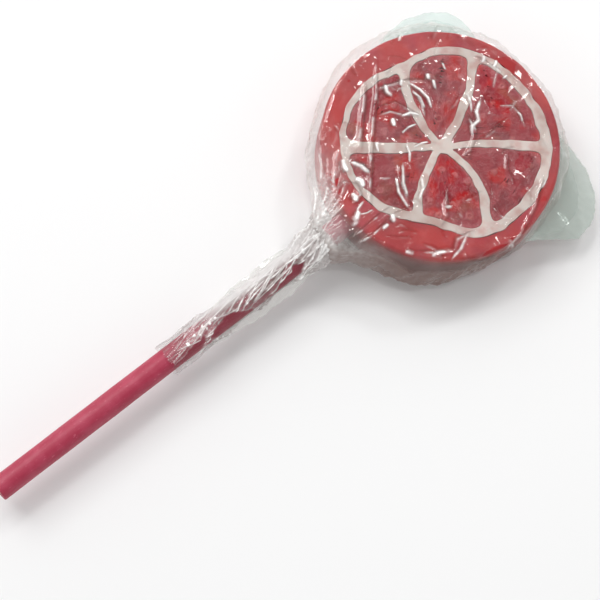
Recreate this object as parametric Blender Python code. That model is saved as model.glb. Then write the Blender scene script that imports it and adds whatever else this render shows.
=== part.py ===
"""Citrus-slice lollipop in its clear twisted wrapper, lying on its back.

Metres, +Z up. The origin is on the floor under the centre of the disc, and the
stick points along -Y at the middle of the disc's thickness.
"""
import math

import bmesh
import bpy
from mathutils import Matrix, Vector

# Driving dimensions, in millimetres and degrees
MM = 0.001
CANDY_DIAMETER = 50.0
CANDY_THICKNESS = 13.0
RIM_ROUNDING = 0.9
STICK_DIAMETER = 5.0
STICK_END_FROM_CENTRE = 114.0
STICK_TIP_FROM_CENTRE = 9.5
STICK_EDGE_ROUNDING = 0.3
GAP = 0.3
FILM_WALL = 0.4
NECK_FROM_CENTRE = 32.0
TAIL_FROM_CENTRE = 71.5

CANDY_RADIUS = CANDY_DIAMETER / 2
STICK_RADIUS = STICK_DIAMETER / 2
BORE_RADIUS = STICK_RADIUS + GAP
CAVITY_HALF_HEIGHT = CANDY_THICKNESS / 2 + GAP
WRAPPER_HALF_HEIGHT = CAVITY_HALF_HEIGHT + FILM_WALL
MID_HEIGHT = WRAPPER_HALF_HEIGHT

# The rind and the segments stand a little lower than the pale pith on both faces
RIND_DROP = 0.15
SEGMENT_DROP = 0.5
SEGMENT_CROWN = 0.35
SEGMENT_CROWN_SHARE = 0.72
SEGMENT_CORNER_ROUNDING = 1.0
SEGMENT_EDGE_ROUNDING = 0.35

# Outer edge of the pale ring: angle from +X, distance from the disc's centre
RING_KNOTS = (
    (10, 22.0), (50, 23.2), (84, 22.2), (121, 22.0), (143, 21.2), (165, 19.4),
    (200, 20.7), (234, 20.9), (271, 20.0), (302, 17.8), (320, 18.0), (343, 21.3),
)
RING_WIDTH = 2.1
RING_STEPS = 72
HUB = (0.4, -0.3)

# Spokes: angle of the outer end, sideways bow, half width at the hub and at the ring
SPOKES = (
    (50, 0.8, 0.55, 1.15),
    (121, -1.6, 0.85, 1.05),
    (165, 2.0, 0.80, 0.95),
    (234, 0.3, 0.75, 1.40),
    (302, -1.1, 0.80, 0.95),
    (347, 3.2, 0.70, 1.05),
)
SPOKE_STEPS = 7
SEGMENT_TIP_WIDTH = 0.9
SOCKET_SEGMENT = 3

# The film billows out past the rim: middle angle, half spread, reach
BILLOWS = ((85, 60, 1.8), (175, 45, 2.3), (238, 28, 1.7), (305, 45, 2.0))
# and sticks out as the flat corners of the folded sheet
CORNERS = ((31, 23, 8.6), (66, 14, 1.2), (140, 26, 4.6))
CORNER_DROOP = 0.22
FIN_SHARPNESS = 6

FILM_SQUARENESS = 12.0
WRAPPER_RADIUS = CANDY_RADIUS + 3 * GAP + FILM_WALL
CAVITY_RADIUS = CANDY_RADIUS + 2 * GAP
FLAT_SHARE = 0.979
SHOULDER_FROM_CENTRE = 18.5
NECK_RADIUS = 5.4
PLEATS = 9
PLEAT_DEPTH = 0.06

TWIST_BASE_RADIUS = 3.4
TWIST_RIDGES = 2
TWIST_RIDGE_HEIGHT = 1.25
TWIST_PITCH = 25.0
# A ridge crosses the top of the stick here: distance from the centre, ray angle
TWIST_CROSSING = (50.0, 81.0)
# Loose film stands out from the twist on the -X side
TWIST_LOOSE = 3.2
TAIL_FLARE = 1.3

# Ray angles round one quarter of a film section, closer at the corner fins and the rims
QUARTER_ANGLES = (0, 4, 10, 20, 30, 38, 44, 50, 62, 76)


def clear_scene():
    """Remove every object of the open scene."""
    for item in list(bpy.data.objects):
        bpy.data.objects.remove(item, do_unlink=True)


def make_material(name, colour, roughness, alpha=1.0):
    """A Principled material of one colour."""
    material = bpy.data.materials.new(name)
    material.use_nodes = True
    shader = material.node_tree.nodes["Principled BSDF"]
    shader.inputs["Base Color"].default_value = (*colour, 1.0)
    shader.inputs["Roughness"].default_value = roughness
    shader.inputs["Metallic"].default_value = 0.0
    shader.inputs["Alpha"].default_value = alpha
    return material


def add_object(name, mesh_data, material, sharp_angle=35):
    """Turn a bmesh in millimetres into a named object in metres."""
    bmesh.ops.remove_doubles(mesh_data, verts=mesh_data.verts, dist=0.0005)
    bmesh.ops.recalc_face_normals(mesh_data, faces=mesh_data.faces)
    bmesh.ops.scale(mesh_data, vec=(MM, MM, MM), verts=mesh_data.verts)
    mesh = bpy.data.meshes.new(name)
    mesh_data.to_mesh(mesh)
    mesh_data.free()
    mesh.shade_smooth()
    mesh.set_sharp_from_angle(angle=math.radians(sharp_angle))
    mesh.materials.append(material)
    item = bpy.data.objects.new(name, mesh)
    bpy.context.scene.collection.objects.link(item)
    return item


def add_cutter(name, mesh_data, material):
    """A hidden object that only shapes others."""
    item = add_object(name, mesh_data, material)
    item.hide_render = True
    item.display_type = "WIRE"
    return item


def cut(item, cutter):
    """Subtract a cutter from an object."""
    modifier = item.modifiers.new("Cut " + cutter.name, "BOOLEAN")
    modifier.operation = "DIFFERENCE"
    modifier.solver = "EXACT"
    modifier.object = cutter


def smooth_step(value):
    """0 to 1 with level ends."""
    value = min(1.0, max(0.0, value))
    return value * value * (3 - 2 * value)


def hermite(start, end, slope_start, slope_end, span, share):
    """Cubic from start to end over a span, with the slope given at both ends."""
    square = share * share
    cube = square * share
    return (
        (2 * cube - 3 * square + 1) * start
        + (cube - 2 * square + share) * span * slope_start
        + (3 * square - 2 * cube) * end
        + (cube - square) * span * slope_end
    )


def ring_radius(angle):
    """Outer radius of the pale ring, a smooth closed curve through its knots."""
    knots = sorted(RING_KNOTS)
    count = len(knots)
    angle = (angle - knots[0][0]) % 360 + knots[0][0]
    index = max(i for i in range(count) if knots[i][0] <= angle)

    def knot(i):
        turns, place = divmod(i, count)
        return knots[place][0] + 360 * turns, knots[place][1]

    before, start, end, after = (knot(index + step) for step in (-1, 0, 1, 2))
    span = end[0] - start[0]
    slope_start = (end[1] - before[1]) / (end[0] - before[0])
    slope_end = (after[1] - start[1]) / (after[0] - start[0])
    share = (angle - start[0]) / span
    return hermite(start[1], end[1], slope_start, slope_end, span, share)


def polar(radius, angle):
    """Point of the plan at a radius and an angle in degrees."""
    return Vector((radius * math.cos(math.radians(angle)), radius * math.sin(math.radians(angle))))


def spoke_side(spoke, side, clearance, share):
    """Point on one side of a spoke: side is 1 on its left, seen from the hub."""
    angle, bow, root_half, tip_half = spoke
    start = Vector(HUB)
    end = polar(ring_radius(angle) - RING_WIDTH / 2, angle)
    along = (end - start).normalized()
    left = Vector((-along.y, along.x))
    control = (start + end) / 2 + 2 * bow * left
    point = (1 - share) ** 2 * start + 2 * share * (1 - share) * control + share ** 2 * end
    tangent = ((1 - share) * (control - start) + share * (end - control)).normalized()
    normal = Vector((-tangent.y, tangent.x))
    half = root_half + (tip_half - root_half) * share + clearance
    return point + side * half * normal


def segment_outline(index, clearance):
    """Outline of the space between two spokes, and its two corners at the ring."""
    right = SPOKES[index]
    left = SPOKES[(index + 1) % len(SPOKES)]

    def pair(share):
        return spoke_side(right, 1, clearance, share), spoke_side(left, -1, clearance, share)

    tip = 0.08
    while (pair(tip)[0] - pair(tip)[1]).length < SEGMENT_TIP_WIDTH:
        tip += 0.01

    def last_share(spoke, side):
        share = 1.0
        while True:
            point = spoke_side(spoke, side, clearance, share)
            angle = math.degrees(math.atan2(point.y, point.x))
            if point.length < ring_radius(angle) - RING_WIDTH - clearance:
                return share
            share -= 0.005

    shares_right = [tip + (last_share(right, 1) - tip) * i / SPOKE_STEPS for i in range(SPOKE_STEPS + 1)]
    shares_left = [tip + (last_share(left, -1) - tip) * i / SPOKE_STEPS for i in range(SPOKE_STEPS + 1)]
    out = [spoke_side(right, 1, clearance, share) for share in shares_right]
    back = [spoke_side(left, -1, clearance, share) for share in reversed(shares_left)]
    first = math.degrees(math.atan2(out[-1].y, out[-1].x))
    last = math.degrees(math.atan2(back[0].y, back[0].x))
    sweep = (last - first) % 360
    steps = max(2, round(sweep * RING_STEPS / 360))
    arc = []
    for i in range(1, steps):
        angle = first + sweep * i / steps
        arc.append(polar(ring_radius(angle) - RING_WIDTH - clearance, angle))
    return out + arc + back, [len(out) - 1, len(out) + len(arc)]


def prism(outline, corners, low, high, corner_rounding):
    """Upright prism on an outline, with some corners rounded."""
    mesh_data = bmesh.new()
    verts = [mesh_data.verts.new((point.x, point.y, low)) for point in outline]
    mesh_data.faces.new(verts)
    if corners:
        bmesh.ops.bevel(
            mesh_data, geom=[verts[i] for i in corners], offset=corner_rounding, segments=3,
            profile=0.5, affect="VERTICES", material=-1, clamp_overlap=True,
        )
    faces = list(mesh_data.faces)
    grown = bmesh.ops.extrude_face_region(mesh_data, geom=faces)
    raised = [part for part in grown["geom"] if isinstance(part, bmesh.types.BMVert)]
    bmesh.ops.translate(mesh_data, vec=(0, 0, high - low), verts=raised)
    return mesh_data


def ring_outline(clearance):
    """Outer edge of the pale ring, grown by a clearance."""
    angles = [360 * (i + 0.5) / RING_STEPS for i in range(RING_STEPS)]
    return [polar(ring_radius(angle) + clearance, angle) for angle in angles]


def build_rind(material, ring_cutter, socket_cutter):
    """The red outer ring: a turned disc with round edges, less the space of the pith."""
    half = CANDY_THICKNESS / 2 - RIND_DROP
    flat = CANDY_RADIUS - RIM_ROUNDING
    mesh_data = bmesh.new()
    profile = [(0.0, half)]
    for i in range(5):
        turn = math.radians(90 - 90 * i / 4)
        profile.append((flat + RIM_ROUNDING * math.cos(turn), half - RIM_ROUNDING * (1 - math.sin(turn))))
    profile += [(x, -z) for x, z in reversed(profile)]
    verts = [mesh_data.verts.new((x, 0.0, MID_HEIGHT + z)) for x, z in profile]
    edges = [mesh_data.edges.new(pair) for pair in zip(verts, verts[1:])]
    bmesh.ops.spin(
        mesh_data, geom=verts + edges, cent=(0, 0, 0), axis=(0, 0, 1),
        angle=math.radians(360), steps=RING_STEPS, use_merge=True,
    )
    item = add_object("rind", mesh_data, material)
    cut(item, ring_cutter)
    cut(item, socket_cutter)
    return item


def build_pith(material, segment_cutters, socket_cutter):
    """The pale ring, its hub and spokes, as one piece right through the disc."""
    low = MID_HEIGHT - CANDY_THICKNESS / 2
    mesh_data = prism(ring_outline(-GAP / 2), [], low, low + CANDY_THICKNESS, 0)
    item = add_object("pith", mesh_data, material)
    for cutter in segment_cutters:
        cut(item, cutter)
    cut(item, socket_cutter)
    return item


def build_segment(index, material, socket_cutter):
    """One segment of the slice, crowned on both faces."""
    half = CANDY_THICKNESS / 2 - SEGMENT_DROP
    outline, corners = segment_outline(index, GAP)
    mesh_data = prism(
        outline, corners, MID_HEIGHT - half, MID_HEIGHT + half, SEGMENT_CORNER_ROUNDING
    )
    bmesh.ops.recalc_face_normals(mesh_data, faces=mesh_data.faces)
    caps = [face for face in mesh_data.faces if abs(face.normal.z) > 0.9]
    rims = {edge for face in caps for edge in face.edges}
    bmesh.ops.bevel(
        mesh_data, geom=list(rims), offset=SEGMENT_EDGE_ROUNDING, segments=1, profile=0.5,
        affect="EDGES", material=-1, clamp_overlap=True,
    )
    caps = [face for face in mesh_data.faces if abs(face.normal.z) > 0.99]
    bmesh.ops.inset_individual(mesh_data, faces=caps, thickness=0.0, depth=0.0)
    for face in caps:
        centre = face.calc_center_median()
        raised = SEGMENT_CROWN * (1 if centre.z > MID_HEIGHT else -1)
        for vert in face.verts:
            vert.co = centre + SEGMENT_CROWN_SHARE * (vert.co - centre)
            vert.co.z += raised
    item = add_object("segment_%d" % (index + 1), mesh_data, material)
    if index == SOCKET_SEGMENT:
        cut(item, socket_cutter)
    return item


def rod(radius, near, far, sides):
    """Round rod along the stick's axis, between two distances from the disc's centre."""
    mesh_data = bmesh.new()
    bmesh.ops.create_circle(mesh_data, cap_ends=True, radius=radius, segments=sides)
    half_side = Matrix.Rotation(math.radians(180 / sides), 3, "Z")
    upright = Matrix.Rotation(math.radians(90), 3, "X")
    bmesh.ops.rotate(
        mesh_data, cent=(0, 0, 0), verts=mesh_data.verts, matrix=upright @ half_side
    )
    bmesh.ops.translate(mesh_data, vec=(0, -near, MID_HEIGHT), verts=mesh_data.verts)
    grown = bmesh.ops.extrude_face_region(mesh_data, geom=list(mesh_data.faces))
    far_end = [part for part in grown["geom"] if isinstance(part, bmesh.types.BMVert)]
    bmesh.ops.translate(mesh_data, vec=(0, near - far, 0), verts=far_end)
    return mesh_data


def build_stick(material):
    """The paper stick, its two ends slightly rounded."""
    mesh_data = rod(STICK_RADIUS, STICK_TIP_FROM_CENTRE, STICK_END_FROM_CENTRE, 32)
    bmesh.ops.recalc_face_normals(mesh_data, faces=mesh_data.faces)
    ends = [face for face in mesh_data.faces if abs(face.normal.y) > 0.9]
    rims = {edge for face in ends for edge in face.edges}
    bmesh.ops.bevel(
        mesh_data, geom=list(rims), offset=STICK_EDGE_ROUNDING, segments=2, profile=0.5,
        affect="EDGES", material=-1, clamp_overlap=True,
    )
    return add_object("stick", mesh_data, material)


def section_angles():
    """Ray angles of one whole film section, in radians."""
    angles = []
    for quarter in range(4):
        if quarter % 2 == 0:
            angles += [90 * quarter + angle for angle in QUARTER_ANGLES]
        else:
            mirrored = [90 * (quarter + 1) - angle for angle in reversed(QUARTER_ANGLES)]
            angles += [90 * quarter] + mirrored[:-1]
    return [math.radians(angle) for angle in angles]


def spread(rows, angle):
    """Sum of soft bumps round the disc, each (middle angle, half spread, reach)."""
    total = 0.0
    for middle, half, reach in rows:
        away = abs((angle - middle + 180) % 360 - 180) / half
        if away < 1:
            total += reach * smooth_step(1.6 * (1 - away))
    return total


def pillow_section(y, width, height, roundness, squareness, flat, share_of_billow, share_of_fins):
    """One closed section of the film across the stick's axis, as points (x, y, z)."""
    points = []
    for ray in section_angles():
        side, up = math.cos(ray), math.sin(ray)
        low, high = 0.0, 1.6
        for _ in range(40):
            scale = (low + high) / 2
            across = ((scale * side) ** 2 * (1 - roundness) + roundness) ** (squareness / 2)
            if across + abs(scale * up) ** squareness > 1:
                high = scale
            else:
                low = scale
        x = low * side * width
        z = max(-flat, min(flat, low * up * height))
        plan = math.degrees(math.atan2(y, x))
        level = abs(z) / flat
        billow = share_of_billow * spread(BILLOWS, plan) * (1 - level ** 2)
        fin = share_of_fins * spread(CORNERS, plan) * (1 - level) ** FIN_SHARPNESS
        outward = polar(billow + fin, plan)
        points.append(Vector((x + outward.x, y + outward.y, MID_HEIGHT + z - CORNER_DROOP * fin)))
    return points


def shoulder_section(y, outer):
    """Section of the film between the disc and the neck."""
    radius = WRAPPER_RADIUS if outer else CAVITY_RADIUS
    half = WRAPPER_HALF_HEIGHT if outer else CAVITY_HALF_HEIGHT
    neck = NECK_RADIUS if outer else BORE_RADIUS
    hold = CANDY_RADIUS + (-1.0 if outer else GAP)
    start_width = math.sqrt(radius ** 2 - SHOULDER_FROM_CENTRE ** 2)
    span = NECK_FROM_CENTRE - SHOULDER_FROM_CENTRE
    share = (-y - SHOULDER_FROM_CENTRE) / span
    slope = -SHOULDER_FROM_CENTRE / start_width
    width = hermite(start_width, neck, slope, -0.2 if outer else 0.0, span, share)
    drop = smooth_step((-y - hold) / (NECK_FROM_CENTRE - hold))
    height = half / FLAT_SHARE + (neck - half / FLAT_SHARE) * drop
    flat = half + (neck - half) * drop
    roundness = (SHOULDER_FROM_CENTRE / radius) ** 2 * (1 - smooth_step(share))
    squareness = FILM_SQUARENESS + (2.0 - FILM_SQUARENESS) * smooth_step(1.3 * share)
    billow = max(0.0, 1 - share * 1.6)
    points = pillow_section(
        y, width, height, roundness, squareness, flat,
        billow if outer else 0.7 * billow, billow if outer else 0.0,
    )
    if not outer:
        return points
    pleated = []
    depth = PLEAT_DEPTH * smooth_step(share * 1.5)
    for ray, point in zip(section_angles(), points):
        fold = 1 - depth * (1 - math.cos(PLEATS * ray))
        pleated.append(Vector((point.x * fold, point.y, MID_HEIGHT + (point.z - MID_HEIGHT) * fold)))
    return pleated


def disc_section(y, outer):
    """Section of the film round the candy disc."""
    radius = WRAPPER_RADIUS if outer else CAVITY_RADIUS
    half = WRAPPER_HALF_HEIGHT if outer else CAVITY_HALF_HEIGHT
    width = math.sqrt(radius ** 2 - y ** 2)
    return pillow_section(
        y, width, half / FLAT_SHARE, (y / radius) ** 2, FILM_SQUARENESS, half,
        1.0 if outer else 0.7, 1.0 if outer else 0.0,
    )


def twist_section(y):
    """Section of the twisted tail: a round skin with ridges that wind about the stick."""
    share = (-y - NECK_FROM_CENTRE) / (TAIL_FROM_CENTRE - NECK_FROM_CENTRE)
    ends = smooth_step(share * 6)
    base = NECK_RADIUS + (TWIST_BASE_RADIUS - NECK_RADIUS) * smooth_step(share * 5)
    base += TAIL_FLARE * smooth_step((share - 0.86) * 7)
    turn = math.radians(TWIST_CROSSING[1] + 360 * (y + TWIST_CROSSING[0]) / TWIST_PITCH)
    points = []
    for ray in section_angles():
        ridge = (0.5 + 0.5 * math.cos(TWIST_RIDGES * (ray - turn))) ** 2
        loose = max(0.0, -math.cos(ray)) ** 4 * math.sin(math.pi * min(1.0, share * 1.15)) ** 2
        pleat = 1 - PLEAT_DEPTH * (1 - ends) * (1 - math.cos(PLEATS * ray))
        radius = base * pleat + ends * TWIST_RIDGE_HEIGHT * ridge + TWIST_LOOSE * loose
        points.append(Vector((radius * math.cos(ray), y, MID_HEIGHT + radius * math.sin(ray))))
    return points


def bore_section(y):
    """Round section of the space that the stick fills."""
    return [
        Vector((BORE_RADIUS * math.cos(ray), y, MID_HEIGHT + BORE_RADIUS * math.sin(ray)))
        for ray in section_angles()
    ]


def even_places(start, end, steps):
    """Places from start to end, both included."""
    return [start + (end - start) * i / steps for i in range(steps + 1)]


def disc_places(radius, steps):
    """Places along Y over the disc, closer together towards its far edge."""
    start = math.asin(-SHOULDER_FROM_CENTRE / radius)
    turns = even_places(start, math.radians(86), steps)
    return [radius * math.sin(turn) for turn in turns]


def build_wrapper(material):
    """The clear film as one closed skin: outside, tail mouth, and inside back to the disc."""
    outside = [twist_section(y) for y in even_places(-TAIL_FROM_CENTRE, -NECK_FROM_CENTRE, 20)]
    outside += [shoulder_section(y, True) for y in even_places(-NECK_FROM_CENTRE, -SHOULDER_FROM_CENTRE, 7)[1:]]
    outside += [disc_section(y, True) for y in disc_places(WRAPPER_RADIUS, 20)[1:]]
    inside = [bore_section(-TAIL_FROM_CENTRE)]
    inside += [shoulder_section(y, False) for y in even_places(-NECK_FROM_CENTRE, -SHOULDER_FROM_CENTRE, 7)]
    inside += [disc_section(y, False) for y in disc_places(CAVITY_RADIUS, 14)[1:]]
    mesh_data = bmesh.new()

    def add_loop(points):
        verts = [mesh_data.verts.new(point) for point in points]
        return [mesh_data.edges.new((vert, verts[i - 1])) for i, vert in enumerate(verts)]

    def skin(sections, pole):
        loops = [add_loop(points) for points in sections]
        for near, far in zip(loops, loops[1:]):
            bmesh.ops.bridge_loops(mesh_data, edges=near + far)
        tip = mesh_data.verts.new(pole)
        for edge in loops[-1]:
            mesh_data.faces.new((*edge.verts, tip))
        return loops[0]

    far_reach = spread(BILLOWS, 90) + WRAPPER_RADIUS
    mouth_outside = skin(outside, (0, far_reach, MID_HEIGHT))
    cavity_reach = 0.7 * spread(BILLOWS, 90) + CAVITY_RADIUS
    mouth_inside = skin(inside, (0, cavity_reach, MID_HEIGHT))
    bmesh.ops.bridge_loops(mesh_data, edges=mouth_outside + mouth_inside)
    return add_object("wrapper", mesh_data, material, sharp_angle=50)


def build_lollipop():
    """All pieces of the lollipop."""
    clear_scene()
    red = make_material("rind_sugar", (0.60, 0.075, 0.07), 0.25)
    pale = make_material("pith_sugar", (0.76, 0.62, 0.58), 0.3)
    ruby = make_material("segment_sugar", (0.42, 0.045, 0.05), 0.2)
    pink = make_material("stick_paper", (0.50, 0.06, 0.17), 0.55)
    clear = make_material("film", (0.85, 0.90, 0.88), 0.08, 0.25)

    low = MID_HEIGHT - CANDY_THICKNESS
    high = MID_HEIGHT + CANDY_THICKNESS
    ring_cutter = add_cutter("cut_ring", prism(ring_outline(GAP / 2), [], low, high, 0), red)
    socket = rod(BORE_RADIUS, STICK_TIP_FROM_CENTRE - GAP, CANDY_RADIUS + 1, 24)
    socket_cutter = add_cutter("cut_socket", socket, red)
    segment_cutters = []
    for index in range(len(SPOKES)):
        outline, corners = segment_outline(index, 0.0)
        mesh_data = prism(outline, corners, low, high, SEGMENT_CORNER_ROUNDING + GAP)
        segment_cutters.append(add_cutter("cut_segment_%d" % (index + 1), mesh_data, red))

    build_rind(red, ring_cutter, socket_cutter)
    build_pith(pale, segment_cutters, socket_cutter)
    for index in range(len(SPOKES)):
        build_segment(index, ruby, socket_cutter)
    build_stick(pink)
    build_wrapper(clear)


build_lollipop()
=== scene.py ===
"""Dressed model of a citrus-slice lollipop in its clear twisted wrapper, lying on its back.

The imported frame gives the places: the disc's centre and thickness, and the stick's axis.
Shapes are worked out in millimetres and become metres when a piece is finished.
"""

import logging
import math
from dataclasses import dataclass, field
from enum import Enum
from typing import Any, Callable, Optional, Sequence, Union

import bmesh
import bpy
import numpy as np
from mathutils import Matrix, Vector


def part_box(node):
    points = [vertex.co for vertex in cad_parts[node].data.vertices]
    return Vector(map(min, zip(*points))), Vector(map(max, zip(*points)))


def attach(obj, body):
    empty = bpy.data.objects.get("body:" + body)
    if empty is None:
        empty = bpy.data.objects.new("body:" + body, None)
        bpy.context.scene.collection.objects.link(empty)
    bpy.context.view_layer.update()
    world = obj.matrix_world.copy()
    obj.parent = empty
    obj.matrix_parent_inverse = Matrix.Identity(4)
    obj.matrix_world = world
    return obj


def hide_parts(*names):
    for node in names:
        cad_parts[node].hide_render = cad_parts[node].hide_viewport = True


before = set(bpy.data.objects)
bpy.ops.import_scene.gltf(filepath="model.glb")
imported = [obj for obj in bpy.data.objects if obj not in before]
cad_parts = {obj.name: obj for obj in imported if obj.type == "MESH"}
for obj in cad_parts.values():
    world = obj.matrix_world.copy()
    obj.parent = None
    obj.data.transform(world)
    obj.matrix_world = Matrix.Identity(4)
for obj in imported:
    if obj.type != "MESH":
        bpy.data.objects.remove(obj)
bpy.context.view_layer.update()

LOG = logging.getLogger("lollipop")
MM = 0.001
PICTURE_SIDE = 600
BODY = "root"

Array = np.ndarray
BMesh = bmesh.types.BMesh
Material = bpy.types.Material
Points = list[Vector]
Pair = tuple[float, float]
Triple = tuple[float, float, float]
Knots = tuple[Pair, ...]
Colour = Triple


class Slot(Enum):
    """Names of the material slots."""

    RIND = "rind_sugar"
    PITH = "pith_sugar"
    SEGMENT = "segment_sugar"
    STICK = "stick_paper"
    FILM = "film"


def node_box(node: str) -> tuple[Vector, Vector]:
    """Lowest and highest corner of a CAD node in millimetres."""
    low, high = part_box(node)
    return low / MM, high / MM


STICK_BOX = node_box("stick")
RIND_BOX = node_box("rind")
PITH_BOX = node_box("pith")
WRAPPER_BOX = node_box("wrapper")
MID_HEIGHT = (STICK_BOX[0].z + STICK_BOX[1].z) / 2
CANDY_RADIUS = (RIND_BOX[1].x - RIND_BOX[0].x) / 2
CANDY_TOP = PITH_BOX[1].z
CANDY_HALF = CANDY_TOP - MID_HEIGHT
STICK_RADIUS = (STICK_BOX[1].z - STICK_BOX[0].z) / 2
STICK_TIP = STICK_BOX[1].y
STICK_END = STICK_BOX[0].y
TAIL_END = WRAPPER_BOX[0].y


def linear(red: int, green: int, blue: int) -> Colour:
    """Scene colour of a display colour given from 0 to 255.

    Args:
        red: Red on the display.
        green: Green on the display.
        blue: Blue on the display.

    Returns:
        The linear colour.
    """

    def channel(value: int) -> float:
        """Linear value of one channel."""
        share = value / 255
        return share / 12.92 if share <= 0.04045 else ((share + 0.055) / 1.055) ** 2.4

    return channel(red), channel(green), channel(blue)


def smooth_step(value: Union[float, Array]) -> Array:
    """0 to 1 with level ends."""
    value = np.clip(value, 0, 1)
    return value * value * (3 - 2 * value)


def periodic(knots: Sequence[Pair], angle: Array) -> Array:
    """Smooth closed curve through knots.

    Args:
        knots: Pairs of an angle in degrees and a value, in order.
        angle: Angles to read, in degrees.

    Returns:
        The value at each angle.
    """
    places = np.array([knot[0] for knot in knots], float)
    values = np.array([knot[1] for knot in knots], float)
    count = len(places)
    angle = (np.asarray(angle, float) - places[0]) % 360 + places[0]
    index = np.searchsorted(places, angle, side="right") - 1

    def knot_at(step: int) -> tuple[Array, Array]:
        """Angle and value of the knot some steps on."""
        place = index + step
        return places[place % count] + 360 * (place // count), values[place % count]

    before, start, end, after = (knot_at(step) for step in (-1, 0, 1, 2))
    span = end[0] - start[0]
    slope_start = (end[1] - before[1]) / (end[0] - before[0])
    slope_end = (after[1] - start[1]) / (after[0] - start[0])
    share = (angle - start[0]) / span
    square = share * share
    cube = square * share
    return (
        (2 * cube - 3 * square + 1) * start[1]
        + (cube - 2 * square + share) * span * slope_start
        + (3 * square - 2 * cube) * end[1]
        + (cube - square) * span * slope_end
    )


def polar(radius: float, angle: float) -> Vector:
    """Point of the plan at a radius and an angle in degrees."""
    return Vector((radius * math.cos(math.radians(angle)), radius * math.sin(math.radians(angle))))


@dataclass(frozen=True)
class Ripple:
    """Seeded unevenness: a sum of waves in all directions.

    Attributes:
        seed: Start of the random draw.
        height: Height of the longest wave.
        shortest: Shortest wave length.
        longest: Longest wave length.
        count: Number of waves.
        crested: Sharp crests instead of round ones.
    """

    seed: int
    height: float
    shortest: float
    longest: float
    count: int = 24
    crested: bool = False

    def at(self, points: Array) -> Array:
        """Height of the ripple.

        Args:
            points: Rows of x, y, z in millimetres.

        Returns:
            One height for each point.
        """
        draw = np.random.default_rng(self.seed)
        directions = draw.normal(size=(self.count, 3))
        directions /= np.linalg.norm(directions, axis=1)[:, None]
        lengths = np.geomspace(self.shortest, self.longest, self.count)
        starts = draw.uniform(0, 2 * math.pi, self.count)
        total = np.zeros(len(points))
        for direction, length, start in zip(directions, lengths, starts):
            wave = np.sin(points @ direction * (2 * math.pi / length) + start)
            if self.crested:
                wave = 1 - 2 * np.abs(wave)
            total += self.height * (length / self.longest) * wave
        return total / math.sqrt(self.count)


class Signal:
    """A shader socket that Python's arithmetic works on."""

    def __init__(self, paint: "Paint", socket: bpy.types.NodeSocket) -> None:
        """Keep an output socket and the material that it belongs to."""
        self.paint = paint
        self.socket = socket

    def _math(self, operation: str, first: "Value", second: "Value") -> "Signal":
        """Result of a maths node on two values."""
        return self.paint.node("ShaderNodeMath", {"operation": operation}, {0: first, 1: second})

    def __add__(self, other: "Value") -> "Signal":
        """Sum."""
        return self._math("ADD", self, other)

    def __sub__(self, other: "Value") -> "Signal":
        """Difference."""
        return self._math("SUBTRACT", self, other)

    def __mul__(self, other: "Value") -> "Signal":
        """Product."""
        return self._math("MULTIPLY", self, other)

    def __truediv__(self, other: "Value") -> "Signal":
        """Quotient."""
        return self._math("DIVIDE", self, other)

    def __pow__(self, other: "Value") -> "Signal":
        """Power."""
        return self._math("POWER", self, other)

    def __radd__(self, other: "Value") -> "Signal":
        """Sum, reflected."""
        return self._math("ADD", other, self)

    def __rsub__(self, other: "Value") -> "Signal":
        """Difference, reflected."""
        return self._math("SUBTRACT", other, self)

    def __rmul__(self, other: "Value") -> "Signal":
        """Product, reflected."""
        return self._math("MULTIPLY", other, self)

    def __rtruediv__(self, other: "Value") -> "Signal":
        """Quotient, reflected."""
        return self._math("DIVIDE", other, self)

    def smaller(self, other: "Value") -> "Signal":
        """The smaller of two values."""
        return self._math("MINIMUM", self, other)


Value = Union[Signal, float]


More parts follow.
